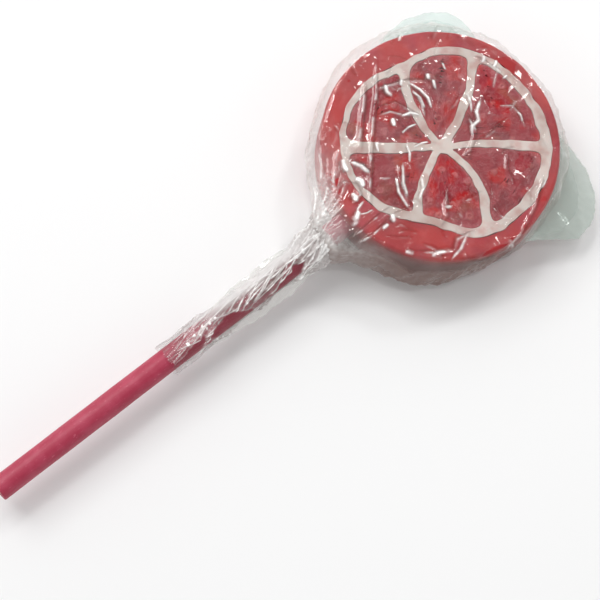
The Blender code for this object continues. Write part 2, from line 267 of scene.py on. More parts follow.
class Paint:
    """A material made of nodes round one Principled shader."""

    def __init__(self, name: str) -> None:
        """Start an empty material.

        Args:
            name: The material's name.
        """
        self.material = bpy.data.materials.new(name)
        self.material.use_nodes = True
        self.tree = self.material.node_tree
        self.shader = self.tree.nodes["Principled BSDF"]

    def node(
        self,
        kind: str,
        settings: Optional[dict[str, Any]] = None,
        sockets: Optional[dict[Union[int, str], Any]] = None,
        output: Union[int, str] = 0,
    ) -> Signal:
        """Add a node.

        Args:
            kind: The node's type.
            settings: Its properties.
            sockets: Values or signals of its input sockets.
            output: The output socket to hand back.

        Returns:
            The signal of that output.
        """
        made = self.tree.nodes.new(kind)
        for name, value in (settings or {}).items():
            setattr(made, name, value)
        for name, value in (sockets or {}).items():
            self._feed(made.inputs[name], value)
        return Signal(self, made.outputs[output])

    def _feed(self, socket: bpy.types.NodeSocket, value: Any) -> None:
        """Set a socket to a value or link it to a signal.

        Args:
            socket: The input socket.
            value: A signal, or a number, colour or vector.
        """
        if isinstance(value, Signal):
            self.tree.links.new(value.socket, socket)
        elif isinstance(value, tuple) and len(value) == 3 and socket.type == "RGBA":
            socket.default_value = (*value, 1)
        else:
            socket.default_value = value

    def set(self, **sockets: Any) -> None:
        """Feed the shader's sockets; an underscore in a name stands for a space."""
        for name, value in sockets.items():
            self._feed(self.shader.inputs[name.replace("_", " ")], value)

    def place(self) -> Signal:
        """Object coordinates in metres."""
        return self.node("ShaderNodeTexCoord", output="Object")

    def layer(self, name: str) -> Signal:
        """A named value that the mesh carries."""
        return self.node("ShaderNodeAttribute", {"attribute_name": name}, output="Fac")

    def vector(self, operation: str, *values: Any, output: str = "Vector") -> Signal:
        """Result of a vector maths node on signals or tuples."""
        sockets = dict(enumerate(values))
        return self.node("ShaderNodeVectorMath", {"operation": operation}, sockets, output)

    def noise(
        self, vector: Signal, scale: float, detail: float = 3.0, roughness: float = 0.55
    ) -> Signal:
        """Noise from 0 to 1, about 0.5."""
        return self.node(
            "ShaderNodeTexNoise", {"noise_dimensions": "3D"},
            {"Vector": vector, "Scale": scale, "Detail": detail, "Roughness": roughness},
        )

    def between(self, value: Signal, low: float, high: float) -> Signal:
        """Smooth step of a value: 0 at low, 1 at high."""
        return self.node(
            "ShaderNodeMapRange", {"interpolation_type": "SMOOTHSTEP"},
            {"Value": value, "From Min": low, "From Max": high, "To Min": 0.0, "To Max": 1.0},
        )

    def mix(self, factor: Value, first: Any, second: Any) -> Signal:
        """Colour from the first at 0 to the second at 1."""
        return self.node(
            "ShaderNodeMix", {"data_type": "RGBA"}, {0: factor, 6: first, 7: second}, output=2
        )

    def bump(self, height: Signal, distance: float, strength: float = 1.0) -> Signal:
        """Normal of a relief from 0 to 1 whose full height is a distance in metres."""
        return self.node(
            "ShaderNodeBump", {}, {"Height": height, "Distance": distance, "Strength": strength}
        )


@dataclass(frozen=True)
class Tint:
    """A colour that shows in patches of noise.

    Attributes:
        colour: The patches' colour.
        scale: How closely the patches lie, in each metre.
        detail: Number of finer octaves of the noise.
        low: Noise at which a patch starts.
        high: Noise from which it is full.
        share: How much of the colour shows in a full patch.
        grain: Factors on X, Y and Z; below 1 draws the patches out that way.
        roughness: Weight of the finer octaves.
    """

    colour: Colour
    scale: float
    detail: float
    low: float
    high: float
    share: float = 1.0
    grain: Optional[Triple] = None
    roughness: float = 0.55

    def patches(self, paint: Paint, place: Signal) -> Signal:
        """Where the patches lie.

        Args:
            paint: The material being made.
            place: Where the noise is read.

        Returns:
            0 outside the patches to 1 in full ones.
        """
        if self.grain:
            place = paint.vector("MULTIPLY", place, self.grain)
        noise = paint.noise(place, self.scale, self.detail, self.roughness)
        return paint.between(noise, self.low, self.high)

    def lay(self, paint: Paint, where: Signal, colour: Any) -> Signal:
        """The colour with the tint laid over it where a signal is above 0."""
        return paint.mix(where * self.share, colour, self.colour)

    def over(self, paint: Paint, place: Signal, colour: Any) -> Signal:
        """The colour with the tint laid over it in its patches."""
        return self.lay(paint, self.patches(paint, place), colour)


@dataclass(frozen=True)
class SugarFinish:
    """Boiled sugar: tints in patches, and light that soaks in.

    Attributes:
        soak: Share of light that soaks in.
        soak_depth: How deep it goes, in metres.
        soak_radius: How far red, green and blue go against that.
    """

    name: str
    base: Colour
    tints: tuple[Tint, ...]
    soak: float
    soak_depth: float
    soak_radius: Triple
    relief_scale: float
    relief_height: float
    relief_share: float = 0.5
    roughness: float = 0.34
    gleam: float = 0.3

    def make(self) -> Material:
        """Make the material.

        Returns:
            The material.
        """
        paint = Paint(self.name)
        place = paint.place()
        colour = self.base
        for tint in self.tints:
            colour = tint.over(paint, place, colour)
        self.finish(paint, colour, paint.noise(place, self.relief_scale, 3))
        return paint.material

    def finish(self, paint: Paint, colour: Signal, relief: Signal) -> None:
        """Set the shader.

        Args:
            paint: The material being made.
            colour: Its colour.
            relief: Its bumps from 0 to 1.
        """
        paint.set(
            Base_Color=colour, Roughness=self.roughness, Specular_IOR_Level=self.gleam,
            Subsurface_Weight=self.soak, Subsurface_Scale=self.soak_depth,
            Subsurface_Radius=self.soak_radius,
            Normal=paint.bump(relief, self.relief_height, self.relief_share),
        )


@dataclass(frozen=True)
class RindFinish(SugarFinish):
    """Red sugar of the outer ring."""

    name: str = "rind sugar"
    base: Colour = linear(164, 40, 46)
    tints: tuple[Tint, ...] = (
        Tint(linear(182, 52, 50), 90, 2, 0.36, 0.64),
        Tint(linear(164, 48, 70), 150, 3, 0.5, 0.7, 0.55, (1, 1, 0.4)),
        Tint(linear(128, 30, 38), 75, 3, 0.48, 0.66, 0.4),
        Tint(linear(214, 92, 92), 420, 3, 0.5, 0.72, 0.14, (1, 1, 0.25)),
    )
    soak: float = 0.2
    soak_depth: float = 0.0015
    soak_radius: Triple = (1.0, 0.25, 0.2)
    relief_scale: float = 700
    relief_height: float = 0.0002


@dataclass(frozen=True)
class PithFinish(SugarFinish):
    """Pale pulled sugar of the ring and spokes."""

    name: str = "pith sugar"
    base: Colour = linear(209, 196, 189)
    tints: tuple[Tint, ...] = (
        Tint(linear(190, 136, 132), 300, 3, 0.44, 0.7, 0.6),
        Tint(linear(166, 142, 130), 150, 2, 0.46, 0.7, 0.4),
    )
    soak: float = 0.3
    soak_depth: float = 0.001
    soak_radius: Triple = (1.0, 0.5, 0.4)
    relief_scale: float = 600
    relief_height: float = 0.00015


@dataclass(frozen=True)
class SegmentFinish(SugarFinish):
    """Clear ruby sugar with radiating streaks and small bubbles.

    Attributes:
        hub: Where the streaks start, in millimetres.
        fan_pace: How fast the streaks change outwards, against round the hub.
        ring_inside: Where a ring's brightness grows, from a bubble's middle.
        ring_outside: Where it fades.
        drop_outside: Where a drop fades, from its middle.
    """

    name: str = "segment sugar"
    base: Colour = linear(164, 44, 54)
    tints: tuple[Tint, ...] = (
        Tint(linear(190, 18, 20), 150, 2, 0.47, 0.6),
        Tint(linear(128, 22, 34), 210, 2, 0.5, 0.66, 0.7),
        Tint(linear(156, 72, 34), 130, 1, 0.6, 0.72, 0.55),
    )
    soak: float = 0.25
    soak_depth: float = 0.0015
    soak_radius: Triple = (1.0, 0.2, 0.18)
    relief_scale: float = 340.0
    relief_height: float = 0.0003
    roughness: float = 0.25
    gleam: float = 0.35
    hub: Pair = (0.0, 0.0)
    streak: Tint = Tint(linear(196, 92, 98), 11, 4, 0.42, 0.68, 0.26, roughness=0.6)
    fine: Tint = Tint(linear(214, 130, 130), 26, 3, 0.5, 0.75, 0.1, roughness=0.6)
    fan_pace: float = 55.0
    ring: Tint = Tint(linear(214, 118, 112), 220, 2, 0.46, 0.6, 0.42)
    ring_inside: Pair = (0.12, 0.22)
    ring_outside: Pair = (0.24, 0.4)
    drop: Tint = Tint(linear(206, 112, 114), 190, 1, 0.44, 0.54, 0.55)
    drop_outside: Pair = (0.16, 0.3)
    edge: Colour = linear(200, 110, 112)
    edge_share: float = 0.35
    edge_width: float = 0.8

    def make(self) -> Material:
        """Make the material.

        Returns:
            The material.
        """
        paint = Paint(self.name)
        place = paint.place()
        colour = self.base
        for tint in self.tints:
            colour = tint.over(paint, place, colour)
        fan = self._fan(paint, place)
        streaks = self.streak.patches(paint, fan)
        colour = self.streak.lay(paint, streaks, colour)
        colour = self.fine.over(paint, fan, colour)
        cells = paint.node(
            "ShaderNodeTexVoronoi", {"feature": "F1"},
            {"Vector": place, "Scale": self.relief_scale}, output="Distance",
        )
        rings = paint.between(cells, *self.ring_inside)
        rings = rings * (1 - paint.between(cells, *self.ring_outside))
        rings = rings * self.ring.patches(paint, place)
        drops = 1 - paint.between(cells, *self.drop_outside)
        drops = drops * self.drop.patches(paint, place)
        colour = self.ring.lay(paint, rings, colour)
        colour = self.drop.lay(paint, drops, colour)
        rim = 1 - paint.between(paint.layer("inside"), 0.0, self.edge_width)
        colour = paint.mix(rim * self.edge_share, colour, self.edge)
        self.finish(paint, colour, streaks + rings + drops)
        return paint.material

    def _fan(self, paint: Paint, place: Signal) -> Signal:
        """Coordinates that run round and out of the hub.

        Args:
            paint: The material being made.
            place: Object coordinates.

        Returns:
            The heading's X and Y, and the distance from the hub.
        """
        hub = (self.hub[0] * MM, self.hub[1] * MM, 0)
        out = paint.vector("SUBTRACT", paint.vector("MULTIPLY", place, (1, 1, 0)), hub)
        away = paint.vector("LENGTH", out, output="Value")
        east = paint.node("ShaderNodeSeparateXYZ", {}, {0: paint.vector("NORMALIZE", out)})
        north = Signal(paint, east.socket.node.outputs["Y"])
        return paint.node(
            "ShaderNodeCombineXYZ", {}, {"X": east, "Y": north, "Z": away * self.fan_pace}
        )


@dataclass(frozen=True)
class PaperFinish:
    """Pink rolled paper.

    Attributes:
        fibre_spread: Noise from which a fibre lies low to where it stands up.
        rougher: How much rougher it is where they stand up.
    """

    pink: Colour = linear(166, 38, 68)
    tints: tuple[Tint, ...] = (
        Tint(linear(184, 66, 92), 260, 3, 0.4, 0.7, 0.5),
        Tint(linear(226, 130, 150), 2600, 2, 0.62, 0.72, 0.25, (1, 0.3, 1)),
    )
    fibre_scale: float = 1800
    fibre_grain: Triple = (1, 0.12, 1)
    fibre_height: float = 0.00012
    fibre_share: float = 0.6
    fibre_spread: Pair = (0.2, 0.9)
    smoothest: float = 0.42
    rougher: float = 0.2
    wax: float = 0.12
    wax_roughness: float = 0.35

    def make(self) -> Material:
        """Make the material.

        Returns:
            The material.
        """
        paint = Paint("stick paper")
        place = paint.place()
        colour = self.pink
        for tint in self.tints:
            colour = tint.over(paint, place, colour)
        fibre = paint.vector("MULTIPLY", place, self.fibre_grain)
        fibre = paint.noise(fibre, self.fibre_scale, 4)
        paint.set(
            Base_Color=colour, Coat_Weight=self.wax, Coat_Roughness=self.wax_roughness,
            Roughness=paint.between(fibre, *self.fibre_spread) * self.rougher + self.smoothest,
            Normal=paint.bump(fibre, self.fibre_height, self.fibre_share),
        )
        return paint.material


@dataclass(frozen=True)
class FilmFinish:
    """Thin clear film: a mirror-like skin that thickens to white where it is crumpled, and that
    carries painted highlights, painted shade and a painted glow.

    Attributes:
        straight_gloss: Share of light that the film throws back straight on.
        shade_dims: Share of the gloss that full painted shade takes away.
        least_haze: Milkiness of smooth film.
        grain_haze: Share of the milkiness without grain, and what full grain adds.
        tint: Colour of milky creases and of the painted highlights on their crests.
        dim: Colour of evenly thick film.
        shadow: Colour of painted shade: lines at the foot of folds, fold valleys and shaded sides.
        glow: Painted glow: emission that stands in for light from behind that thick film passes
            on.
    """

    name: str
    straight_gloss: float = 0.06
    gloss_power: float = 5.0
    shade_dims: float = 0.7
    least_haze: float = 0.006
    grain_scale: float = 900
    grain_spread: Pair = (0.3, 0.75)
    grain_haze: Pair = (0.6, 0.6)
    most_cover: float = 0.92
    tint: Colour = linear(252, 253, 251)
    dim: Colour = linear(212, 206, 200)
    shadow: Colour = linear(96, 74, 70)
    glow: float = 0.3
    roughness: float = 0.1
    gleam: float = 0.15
    relief_scale: float = 1100
    relief_height: float = 0.00005
    relief_share: float = 0.3

    def make(self) -> Material:
        """Make the material.

        Returns:
            The material.
        """
        paint = Paint(self.name)
        place = paint.place()
        facing = paint.node("ShaderNodeLayerWeight", {}, {"Blend": 0.5}, output="Facing")
        # The shade layer is painted shade: it deepens the colour and dims the gloss.
        shade = paint.layer("shade").smaller(1.0)
        gloss = self.straight_gloss + (1 - self.straight_gloss) * facing ** self.gloss_power
        gloss = gloss * (1 - self.shade_dims * shade)
        grain = paint.between(paint.noise(place, self.grain_scale, 3), *self.grain_spread)
        plain, grainy = self.grain_haze
        # The haze layer holds milky film and painted highlights alike.
        haze = self.least_haze + paint.layer("haze") * (plain + grainy * grain)
        dull = paint.layer("dull")
        milky = haze + dull
        alpha = gloss + (milky + shade).smaller(self.most_cover) * (1 - gloss)
        mirror = gloss / alpha
        colour = paint.mix(dull / milky, self.tint, self.dim)
        colour = paint.mix(shade / (milky + shade), colour, self.shadow)
        relief = paint.noise(place, self.relief_scale, 3)
        # The emission is a painted glow for light that thick film passes on from behind.
        paint.set(
            Base_Color=colour, Metallic=mirror, Roughness=self.roughness, Alpha=alpha,
            Specular_IOR_Level=self.gleam, Emission_Strength=self.glow,
            Emission_Color=paint.mix(mirror, colour, (0.0, 0.0, 0.0)),
            Normal=paint.bump(relief, self.relief_height, self.relief_share),
        )
        return paint.material


@dataclass(frozen=True)
class FloorFinish:
    """Plain pale floor."""

    pale: Colour = (0.9, 0.9, 0.9)
    roughness: float = 0.9
    gleam: float = 0.1

    def make(self) -> Material:
        """Make the material.

        Returns:
            The material.
        """
        paint = Paint("floor")
        paint.set(
            Base_Color=self.pale, Roughness=self.roughness, Specular_IOR_Level=self.gleam
        )
        return paint.material


class SubAssembly:
    """Base of the lollipop's sub-assemblies."""

    def piece(
        self,
        name: str,
        mesh_data: BMesh,
        material: Material,
        slot: Slot,
        replaces: Sequence[str] = (),
        sharp: float = 60.0,
        layers: Optional[Callable[[Array], dict[str, Array]]] = None,
    ) -> bpy.types.Object:
        """Finish a piece: merge, turn the faces out, give it its finish and put it on the body.

        Args:
            name: The piece's name.
            mesh_data: Its mesh in millimetres, which is used up.
            material: Its finish.
            slot: The slot of that finish; not used.
            replaces: CAD nodes that the piece stands for.
            sharp: Edges over this angle in degrees stay sharp.
            layers: Gives named values by place, kept as attributes that the finish reads.

        Returns:
            The new object.
        """
        bmesh.ops.remove_doubles(mesh_data, verts=mesh_data.verts, dist=0.002)
        bmesh.ops.recalc_face_normals(mesh_data, faces=mesh_data.faces)
        mesh = bpy.data.meshes.new(name)
        mesh_data.to_mesh(mesh)
        mesh_data.free()
        points = np.empty(len(mesh.vertices) * 3, np.float32)
        mesh.vertices.foreach_get("co", points)
        points = points.reshape(-1, 3).astype(float)
        for label, values in (layers(points) if layers else {}).items():
            layer = mesh.attributes.new(label, "FLOAT", "POINT")
            layer.data.foreach_set("value", values.astype(np.float32))
        mesh.vertices.foreach_set("co", (points * MM).astype(np.float32).ravel())
        mesh.update()
        mesh.shade_smooth()
        mesh.set_sharp_from_angle(angle=math.radians(sharp))
        mesh.materials.append(material)
        item = bpy.data.objects.new(name, mesh)
        bpy.context.scene.collection.objects.link(item)
        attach(item, BODY)
        if replaces:
            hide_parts(*replaces)
        LOG.info("%s: %d faces", name, len(mesh.polygons))
        return item


def move_points(mesh_data: BMesh, rule: Callable[[Array], Array]) -> None:
    """Move the vertices of a bmesh by a rule.

    Args:
        mesh_data: The mesh.
        rule: Gives the new rows of x, y, z for the old ones.
    """
    old = np.array([vert.co[:] for vert in mesh_data.verts])
    for vert, place in zip(mesh_data.verts, rule(old)):
        vert.co = place


@dataclass(frozen=True)
class Spoke:
    """A pale spoke.

    Attributes:
        angle: Angle of its outer end in degrees.
        bow: How far its middle stands off the straight line, to the left.
        hub_half: Half its width at the hub.
        ring_half: Half its width at the ring.
    """

    angle: float
    bow: float
    hub_half: float
    ring_half: float


@dataclass(frozen=True)
class SliceDrawing:
    """The drawing on the disc's face: ring, hub and spokes, in millimetres and degrees.

    Attributes:
        ring_knots: Angles and outer radii of the pale ring.
        width_knots: Angles and widths of the pale ring.
        tip_width: Width at which a segment's inner tip is cut off.
        wobble_shift: How far off the unevenness along Y is read from that along X.
    """

    ring_knots: Knots = (
        (10, 22.0), (50, 23.2), (84, 22.2), (121, 22.0), (143, 21.2), (165, 19.4),
        (200, 20.7), (234, 20.9), (271, 20.0), (302, 17.8), (320, 18.0), (343, 21.3),
    )
    width_knots: Knots = (
        (10, 2.1), (52, 2.2), (100, 1.9), (145, 1.8), (178, 1.8), (205, 1.35),
        (232, 1.25), (258, 1.45), (285, 1.8), (320, 1.8), (345, 2.1),
    )
    hub: Pair = (0.4, -0.3)
    spokes: tuple[Spoke, ...] = (
        Spoke(50, 0.8, 0.55, 1.15),
        Spoke(121, -1.6, 0.85, 1.05),
        Spoke(165, 2.0, 0.80, 0.95),
        Spoke(234, 0.3, 0.75, 1.40),
        Spoke(302, -1.1, 0.80, 0.95),
        Spoke(347, 3.2, 0.70, 1.05),
    )
    tip_width: float = 0.35
    tip_start: float = 0.08
    tip_step: float = 0.01
    end_step: float = 0.005
    spoke_steps: int = 34
    ring_steps: int = 240
    easings: int = 6
    easing_reach: int = 3
    easing_keep: float = 0.4
    wobble: Ripple = Ripple(11, 0.28, 1.6, 7.0, 20)
    wobble_shift: float = 40.0

    def ring_radius(self, angle: Union[float, Array]) -> Array:
        """Outer radius of the pale ring at an angle in degrees."""
        return periodic(self.ring_knots, np.asarray(angle, float))

    def ring_width(self, angle: float) -> float:
        """Width of the pale ring at an angle in degrees."""
        return float(periodic(self.width_knots, np.asarray(angle, float)))

    def shaken(self, points: Points) -> Points:
        """Move points a little, as hand-pulled sugar is uneven.

        Args:
            points: Points of the plan.

        Returns:
            The moved points.
        """
        rows = np.array([(point.x, point.y, 0.0) for point in points])
        across = self.wobble.at(rows)
        up = self.wobble.at(rows + self.wobble_shift)
        return [point + Vector((dx, dy)) for point, dx, dy in zip(points, across, up)]

    def spoke_side(self, spoke: Spoke, side: int, share: float) -> Vector:
        """Point on one side of a spoke.

        Args:
            spoke: The spoke.
            side: 1 on its left seen from the hub, -1 on its right.
            share: Place along it, from the hub at 0 to the ring at 1.

        Returns:
            The point.
        """
        start = Vector(self.hub)
        reach = float(self.ring_radius(spoke.angle)) - self.ring_width(spoke.angle) / 2
        end = polar(reach, spoke.angle)
        along = (end - start).normalized()
        control = (start + end) / 2 + 2 * spoke.bow * Vector((-along.y, along.x))
        point = (1 - share) ** 2 * start + 2 * share * (1 - share) * control + share ** 2 * end
        tangent = ((1 - share) * (control - start) + share * (end - control)).normalized()
        half = spoke.hub_half + (spoke.ring_half - spoke.hub_half) * share
        return point + side * half * Vector((-tangent.y, tangent.x))

    def _last_share(self, spoke: Spoke, side: int) -> float:
        """Share of a spoke's side at which it meets the ring.

        Args:
            spoke: The spoke.
            side: 1 on its left seen from the hub, -1 on its right.

        Returns:
            The share.
        """
        share = 1.0
        while True:
            point = self.spoke_side(spoke, side, share)
            angle = math.degrees(math.atan2(point.y, point.x))
            if point.length < float(self.ring_radius(angle)) - self.ring_width(angle):
                return share
            share -= self.end_step

    def segment(self, index: int) -> Points:
        """Rounded outline of the space between two spokes, shaken.

        Args:
            index: Number of the segment, from 0.

        Returns:
            The outline's points in order.
        """
        right = self.spokes[index]
        left = self.spokes[(index + 1) % len(self.spokes)]
        tip = self.tip_start
        while self._gap(left, right, tip) < self.tip_width:
            tip += self.tip_step
        out = self._side(right, 1, tip)
        back = list(reversed(self._side(left, -1, tip)))
        first = math.degrees(math.atan2(out[-1].y, out[-1].x))
        last = math.degrees(math.atan2(back[0].y, back[0].x))
        sweep = (last - first) % 360
        steps = max(2, round(sweep * self.ring_steps / 360))
        arc = []
        for step in range(1, steps):
            angle = first + sweep * step / steps
            arc.append(polar(float(self.ring_radius(angle)) - self.ring_width(angle), angle))
        outline = out + arc + back
        return self._rounded(self.shaken(outline), (len(out) - 1, len(out) + len(arc)))

    def _gap(self, left: Spoke, right: Spoke, share: float) -> float:
        """Distance between the facing sides of two spokes at a share of their length."""
        return (self.spoke_side(right, 1, share) - self.spoke_side(left, -1, share)).length

    def _side(self, spoke: Spoke, side: int, tip: float) -> Points:
        """Points of a spoke's side.

        Args:
            spoke: The spoke.
            side: 1 on its left seen from the hub, -1 on its right.
            tip: Share at which the points start.

        Returns:
            The points out to the ring.
        """
        last = self._last_share(spoke, side)
        steps = self.spoke_steps
        shares = [tip + (last - tip) * step / steps for step in range(steps + 1)]
        return [self.spoke_side(spoke, side, share) for share in shares]

    def _rounded(self, outline: Points, corners: Sequence[int]) -> Points:
        """Smooth the outline near its corners.

        Args:
            outline: The closed outline.
            corners: Places of the corners in it.

        Returns:
            The outline with the corners eased.
        """
        points = [point.copy() for point in outline]
        count = len(points)
        for _ in range(self.easings):
            eased = [point.copy() for point in points]
            for corner in corners:
                for step in range(-self.easing_reach, self.easing_reach + 1):
                    place = (corner + step) % count
                    around = points[place - 1] + points[(place + 1) % count]
                    share = (1 - self.easing_keep) / 2
                    eased[place] = points[place] * self.easing_keep + around * share
            points = eased
        return points

    def ring_outline(self) -> Points:
        """Outer edge of the pale ring, shaken."""
        angles = [360 * (step + 0.5) / self.ring_steps for step in range(self.ring_steps)]
        return self.shaken([polar(float(self.ring_radius(angle)), angle) for angle in angles])


def distance_to_lines(points: Array, line: Array, closed: bool) -> tuple[Array, Array, Array]:
    """Distance of points of the plan from a line of points.

    Args:
        points: Rows that start with x, y.
        line: Rows of x, y.
        closed: The line ends where it starts.

    Returns:
        The distance, the share of the line's length at the nearest place, and 1 on the
        line's left or -1 on its right.
    """
    ends = np.roll(line, -1, axis=0) if closed else line[1:]
    starts = line if closed else line[:-1]
    lengths = np.hypot(*(ends - starts).T)
    passed = np.concatenate(([0.0], np.cumsum(lengths)))
    best = np.full(len(points), np.inf)
    share = np.zeros(len(points))
    side = np.ones(len(points))
    for start, end, length, before in zip(starts, ends, lengths, passed):
        reach = end - start
        offset = points[:, :2] - start
        part = np.clip((offset @ reach) / max(length * length, 1e-9), 0, 1)
        gap = np.hypot(*(offset - part[:, None] * reach).T)
        nearer = gap < best
        best = np.where(nearer, gap, best)
        share = np.where(nearer, (before + part * length) / passed[-1], share)
        side = np.where(nearer, np.sign(reach[0] * offset[:, 1] - reach[1] * offset[:, 0]), side)
    return best, share, side


@dataclass
class Candy(SubAssembly):
    """The sugar disc: rind, pith and six segments, each right through the disc.

    Attributes:
        rind_drop: How far the rind's faces lie under the pith's.
        rind_width: Width of the rind's flat band before it follows the pith.
        rind_sink: How far its flat band is pressed in.
        segment_rings: Rings of a segment's face, as shares from its middle to its edge.
    """

    drawing: SliceDrawing = field(default_factory=SliceDrawing)
    rim_rounding: float = 0.9
    rim_steps: int = 10
    rind_drop: float = 0.12
    rind_width: float = 4.0
    rind_rows: int = 12
    rind_steps: int = 360
    rind_overlap: float = 0.02
    rind_sink: float = 0.05
    rind_lumps: Ripple = Ripple(8, 0.12, 2.0, 9.0, 18)
    side_lumps: float = 0.7
    segment_drop: float = 0.14
    segment_rings: tuple[float, ...] = (
        0.06, 0.12, 0.2, 0.28, 0.36, 0.44, 0.52, 0.6, 0.67, 0.74,
        0.8, 0.85, 0.89, 0.92, 0.945, 0.965, 0.98, 0.99, 1.0,
    )
    segment_crown: float = 0.1
    crown_reach: float = 3.2
    segment_rounding: float = 0.2
    lumps: Ripple = Ripple(5, 0.09, 1.5, 6.0, 22)
    lump_reach: float = 0.8
    pith_rounding: float = 0.14

    def build(self) -> None:
        """Make all pieces of the disc."""
        self._build_rind(RindFinish().make())
        self._build_pith(PithFinish().make())
        finish = SegmentFinish(hub=self.drawing.hub).make()
        for index in range(len(self.drawing.spokes)):
            self._build_segment(index, finish)

    def _build_rind(self, material: Material) -> None:
        """The red ring: a turned section whose inner edge follows the pith.

        Args:
            material: Its finish.
        """
        half = CANDY_HALF - self.rind_drop
        flat = CANDY_RADIUS - self.rim_rounding
        inner = flat - self.rind_width
        rows = self.rind_rows
        profile = [(inner + (flat - inner) * step / rows, half) for step in range(rows)]
        for step in range(self.rim_steps + 1):
            turn = math.radians(90 - 90 * step / self.rim_steps)
            profile.append((
                flat + self.rim_rounding * math.cos(turn),
                half - self.rim_rounding * (1 - math.sin(turn)),
            ))
        profile += [(radius, -height) for radius, height in reversed(profile)]
        mesh_data = bmesh.new()
        verts = [
            mesh_data.verts.new((radius, 0, MID_HEIGHT + height)) for radius, height in profile
        ]
        edges = [
            mesh_data.edges.new((vert, verts[place - 1])) for place, vert in enumerate(verts)
        ]
        bmesh.ops.spin(
            mesh_data, geom=verts + edges, cent=(0, 0, 0), axis=(0, 0, 1),
            angle=math.radians(360), steps=self.rind_steps, use_merge=True,
        )

        def follow_pith(points: Array) -> Array:
            """Bring the inner edge to the pith and add lumps.

            Args:
                points: Rows of x, y, z on the turned section.

            Returns:
                The rows on the ring.
            """
            radius = np.hypot(points[:, 0], points[:, 1])
            angle = np.degrees(np.arctan2(points[:, 1], points[:, 0]))
            edge = self.drawing.ring_radius(angle) - self.rind_overlap
            share = np.clip((radius - inner) / (flat - inner), 0, None)
            new = np.where(radius < flat, edge + (flat - edge) * share, radius)
            lump = self.rind_lumps.at(points)
            outward = smooth_step((radius - flat) / self.rim_rounding)
            new = new + lump * outward * self.side_lumps
            scale = new / radius
            level = np.sign(points[:, 2] - MID_HEIGHT) * (1 - outward)
            return np.column_stack((
                points[:, 0] * scale, points[:, 1] * scale,
                points[:, 2] + level * (lump - self.rind_sink),
            ))

        move_points(mesh_data, follow_pith)
        self.piece("rind_ring", mesh_data, material, Slot.RIND, ["rind"])

    def _build_pith(self, material: Material) -> None:
        """The pale ring, hub and spokes as one plate with six windows.

        Args:
            material: Its finish.
        """
        mesh_data = bmesh.new()
        outlines = [self.drawing.ring_outline()]
        outlines += [self.drawing.segment(index) for index in range(len(self.drawing.spokes))]
        for outline in outlines:
            verts = [mesh_data.verts.new((point.x, point.y, CANDY_TOP)) for point in outline]
            for place, vert in enumerate(verts):
                mesh_data.edges.new((vert, verts[place - 1]))
        bmesh.ops.triangle_fill(
            mesh_data, use_beauty=True, use_dissolve=False, edges=mesh_data.edges, normal=(0, 0, 1)
        )
        grown = bmesh.ops.extrude_face_region(
            mesh_data, geom=list(mesh_data.faces), use_keep_orig=True
        )
        lower = [part for part in grown["geom"] if isinstance(part, bmesh.types.BMVert)]
        bmesh.ops.translate(mesh_data, vec=(0, 0, -2 * CANDY_HALF), verts=lower)
        bmesh.ops.recalc_face_normals(mesh_data, faces=mesh_data.faces)
        mesh_data.normal_update()
        rims = [
            edge for edge in mesh_data.edges
            if len(edge.link_faces) == 2
            and abs(abs(edge.link_faces[0].normal.z) - abs(edge.link_faces[1].normal.z)) > 0.5
        ]
        bmesh.ops.bevel(
            mesh_data, geom=rims, offset=self.pith_rounding, segments=3, profile=0.5,
            affect="EDGES", material=-1, clamp_overlap=True,
        )
        item = self.piece(
            "pith_ring_and_spokes", mesh_data, material, Slot.PITH, ["pith"], sharp=80
        )
        item.modifiers.new("Even shading", "WEIGHTED_NORMAL").keep_sharp = True

    def _build_segment(self, index: int, material: Material) -> None:
        """One segment: rings of its outline drawn in to its middle, crowned and lumpy.

        Args:
            index: Number of the segment, from 0.
            material: Its finish.
        """
        outline = np.array([tuple(point) for point in self.drawing.segment(index)])
        centre = outline.mean(axis=0)
        half = CANDY_HALF - self.segment_drop
        levels = [(share, half) for share in self.segment_rings] + [(1.0, 0.0)]
        levels += [(share, -half) for share in reversed(self.segment_rings)]
        mesh_data = bmesh.new()
        loops = []
        for share, level in levels:
            places = centre + share * (outline - centre)
            verts = [mesh_data.verts.new((x, y, MID_HEIGHT + level)) for x, y in places]
            loops.append([
                mesh_data.edges.new((vert, verts[place - 1])) for place, vert in enumerate(verts)
            ])
        for near, far in zip(loops, loops[1:]):
            bmesh.ops.bridge_loops(mesh_data, edges=near + far)
        for loop, level in ((loops[0], half), (loops[-1], -half)):
            pole = mesh_data.verts.new((*centre, MID_HEIGHT + level))
            for edge in loop:
                mesh_data.faces.new((*edge.verts, pole))

        def crown(points: Array) -> Array:
            """Round the edge over, raise the middle and add lumps.

            Args:
                points: Rows of x, y, z on the flat segment.

            Returns:
                The rows on the finished one.
            """
            inside = distance_to_lines(points, outline, closed=True)[0]
            near = np.clip(1 - inside / self.segment_rounding, 0, 1)
            drop = self.segment_rounding * (1 - np.sqrt(1 - near ** 2))
            raised = self.segment_crown * smooth_step(inside / self.crown_reach)
            lump = self.lumps.at(points) * smooth_step(inside / self.lump_reach)
            side = np.sign(np.round(points[:, 2] - MID_HEIGHT, 1))
            return np.column_stack((
                points[:, 0], points[:, 1], points[:, 2] + side * (raised + lump - drop)
            ))

        def layers(points: Array) -> dict[str, Array]:
            """Distance from the segment's edge, in millimetres."""
            return {"inside": distance_to_lines(points, outline, closed=True)[0]}

        move_points(mesh_data, crown)
        name = "segment_%d" % (index + 1)
        self.piece(
            "sugar_" + name, mesh_data, material, Slot.SEGMENT, [name], layers=layers
        )


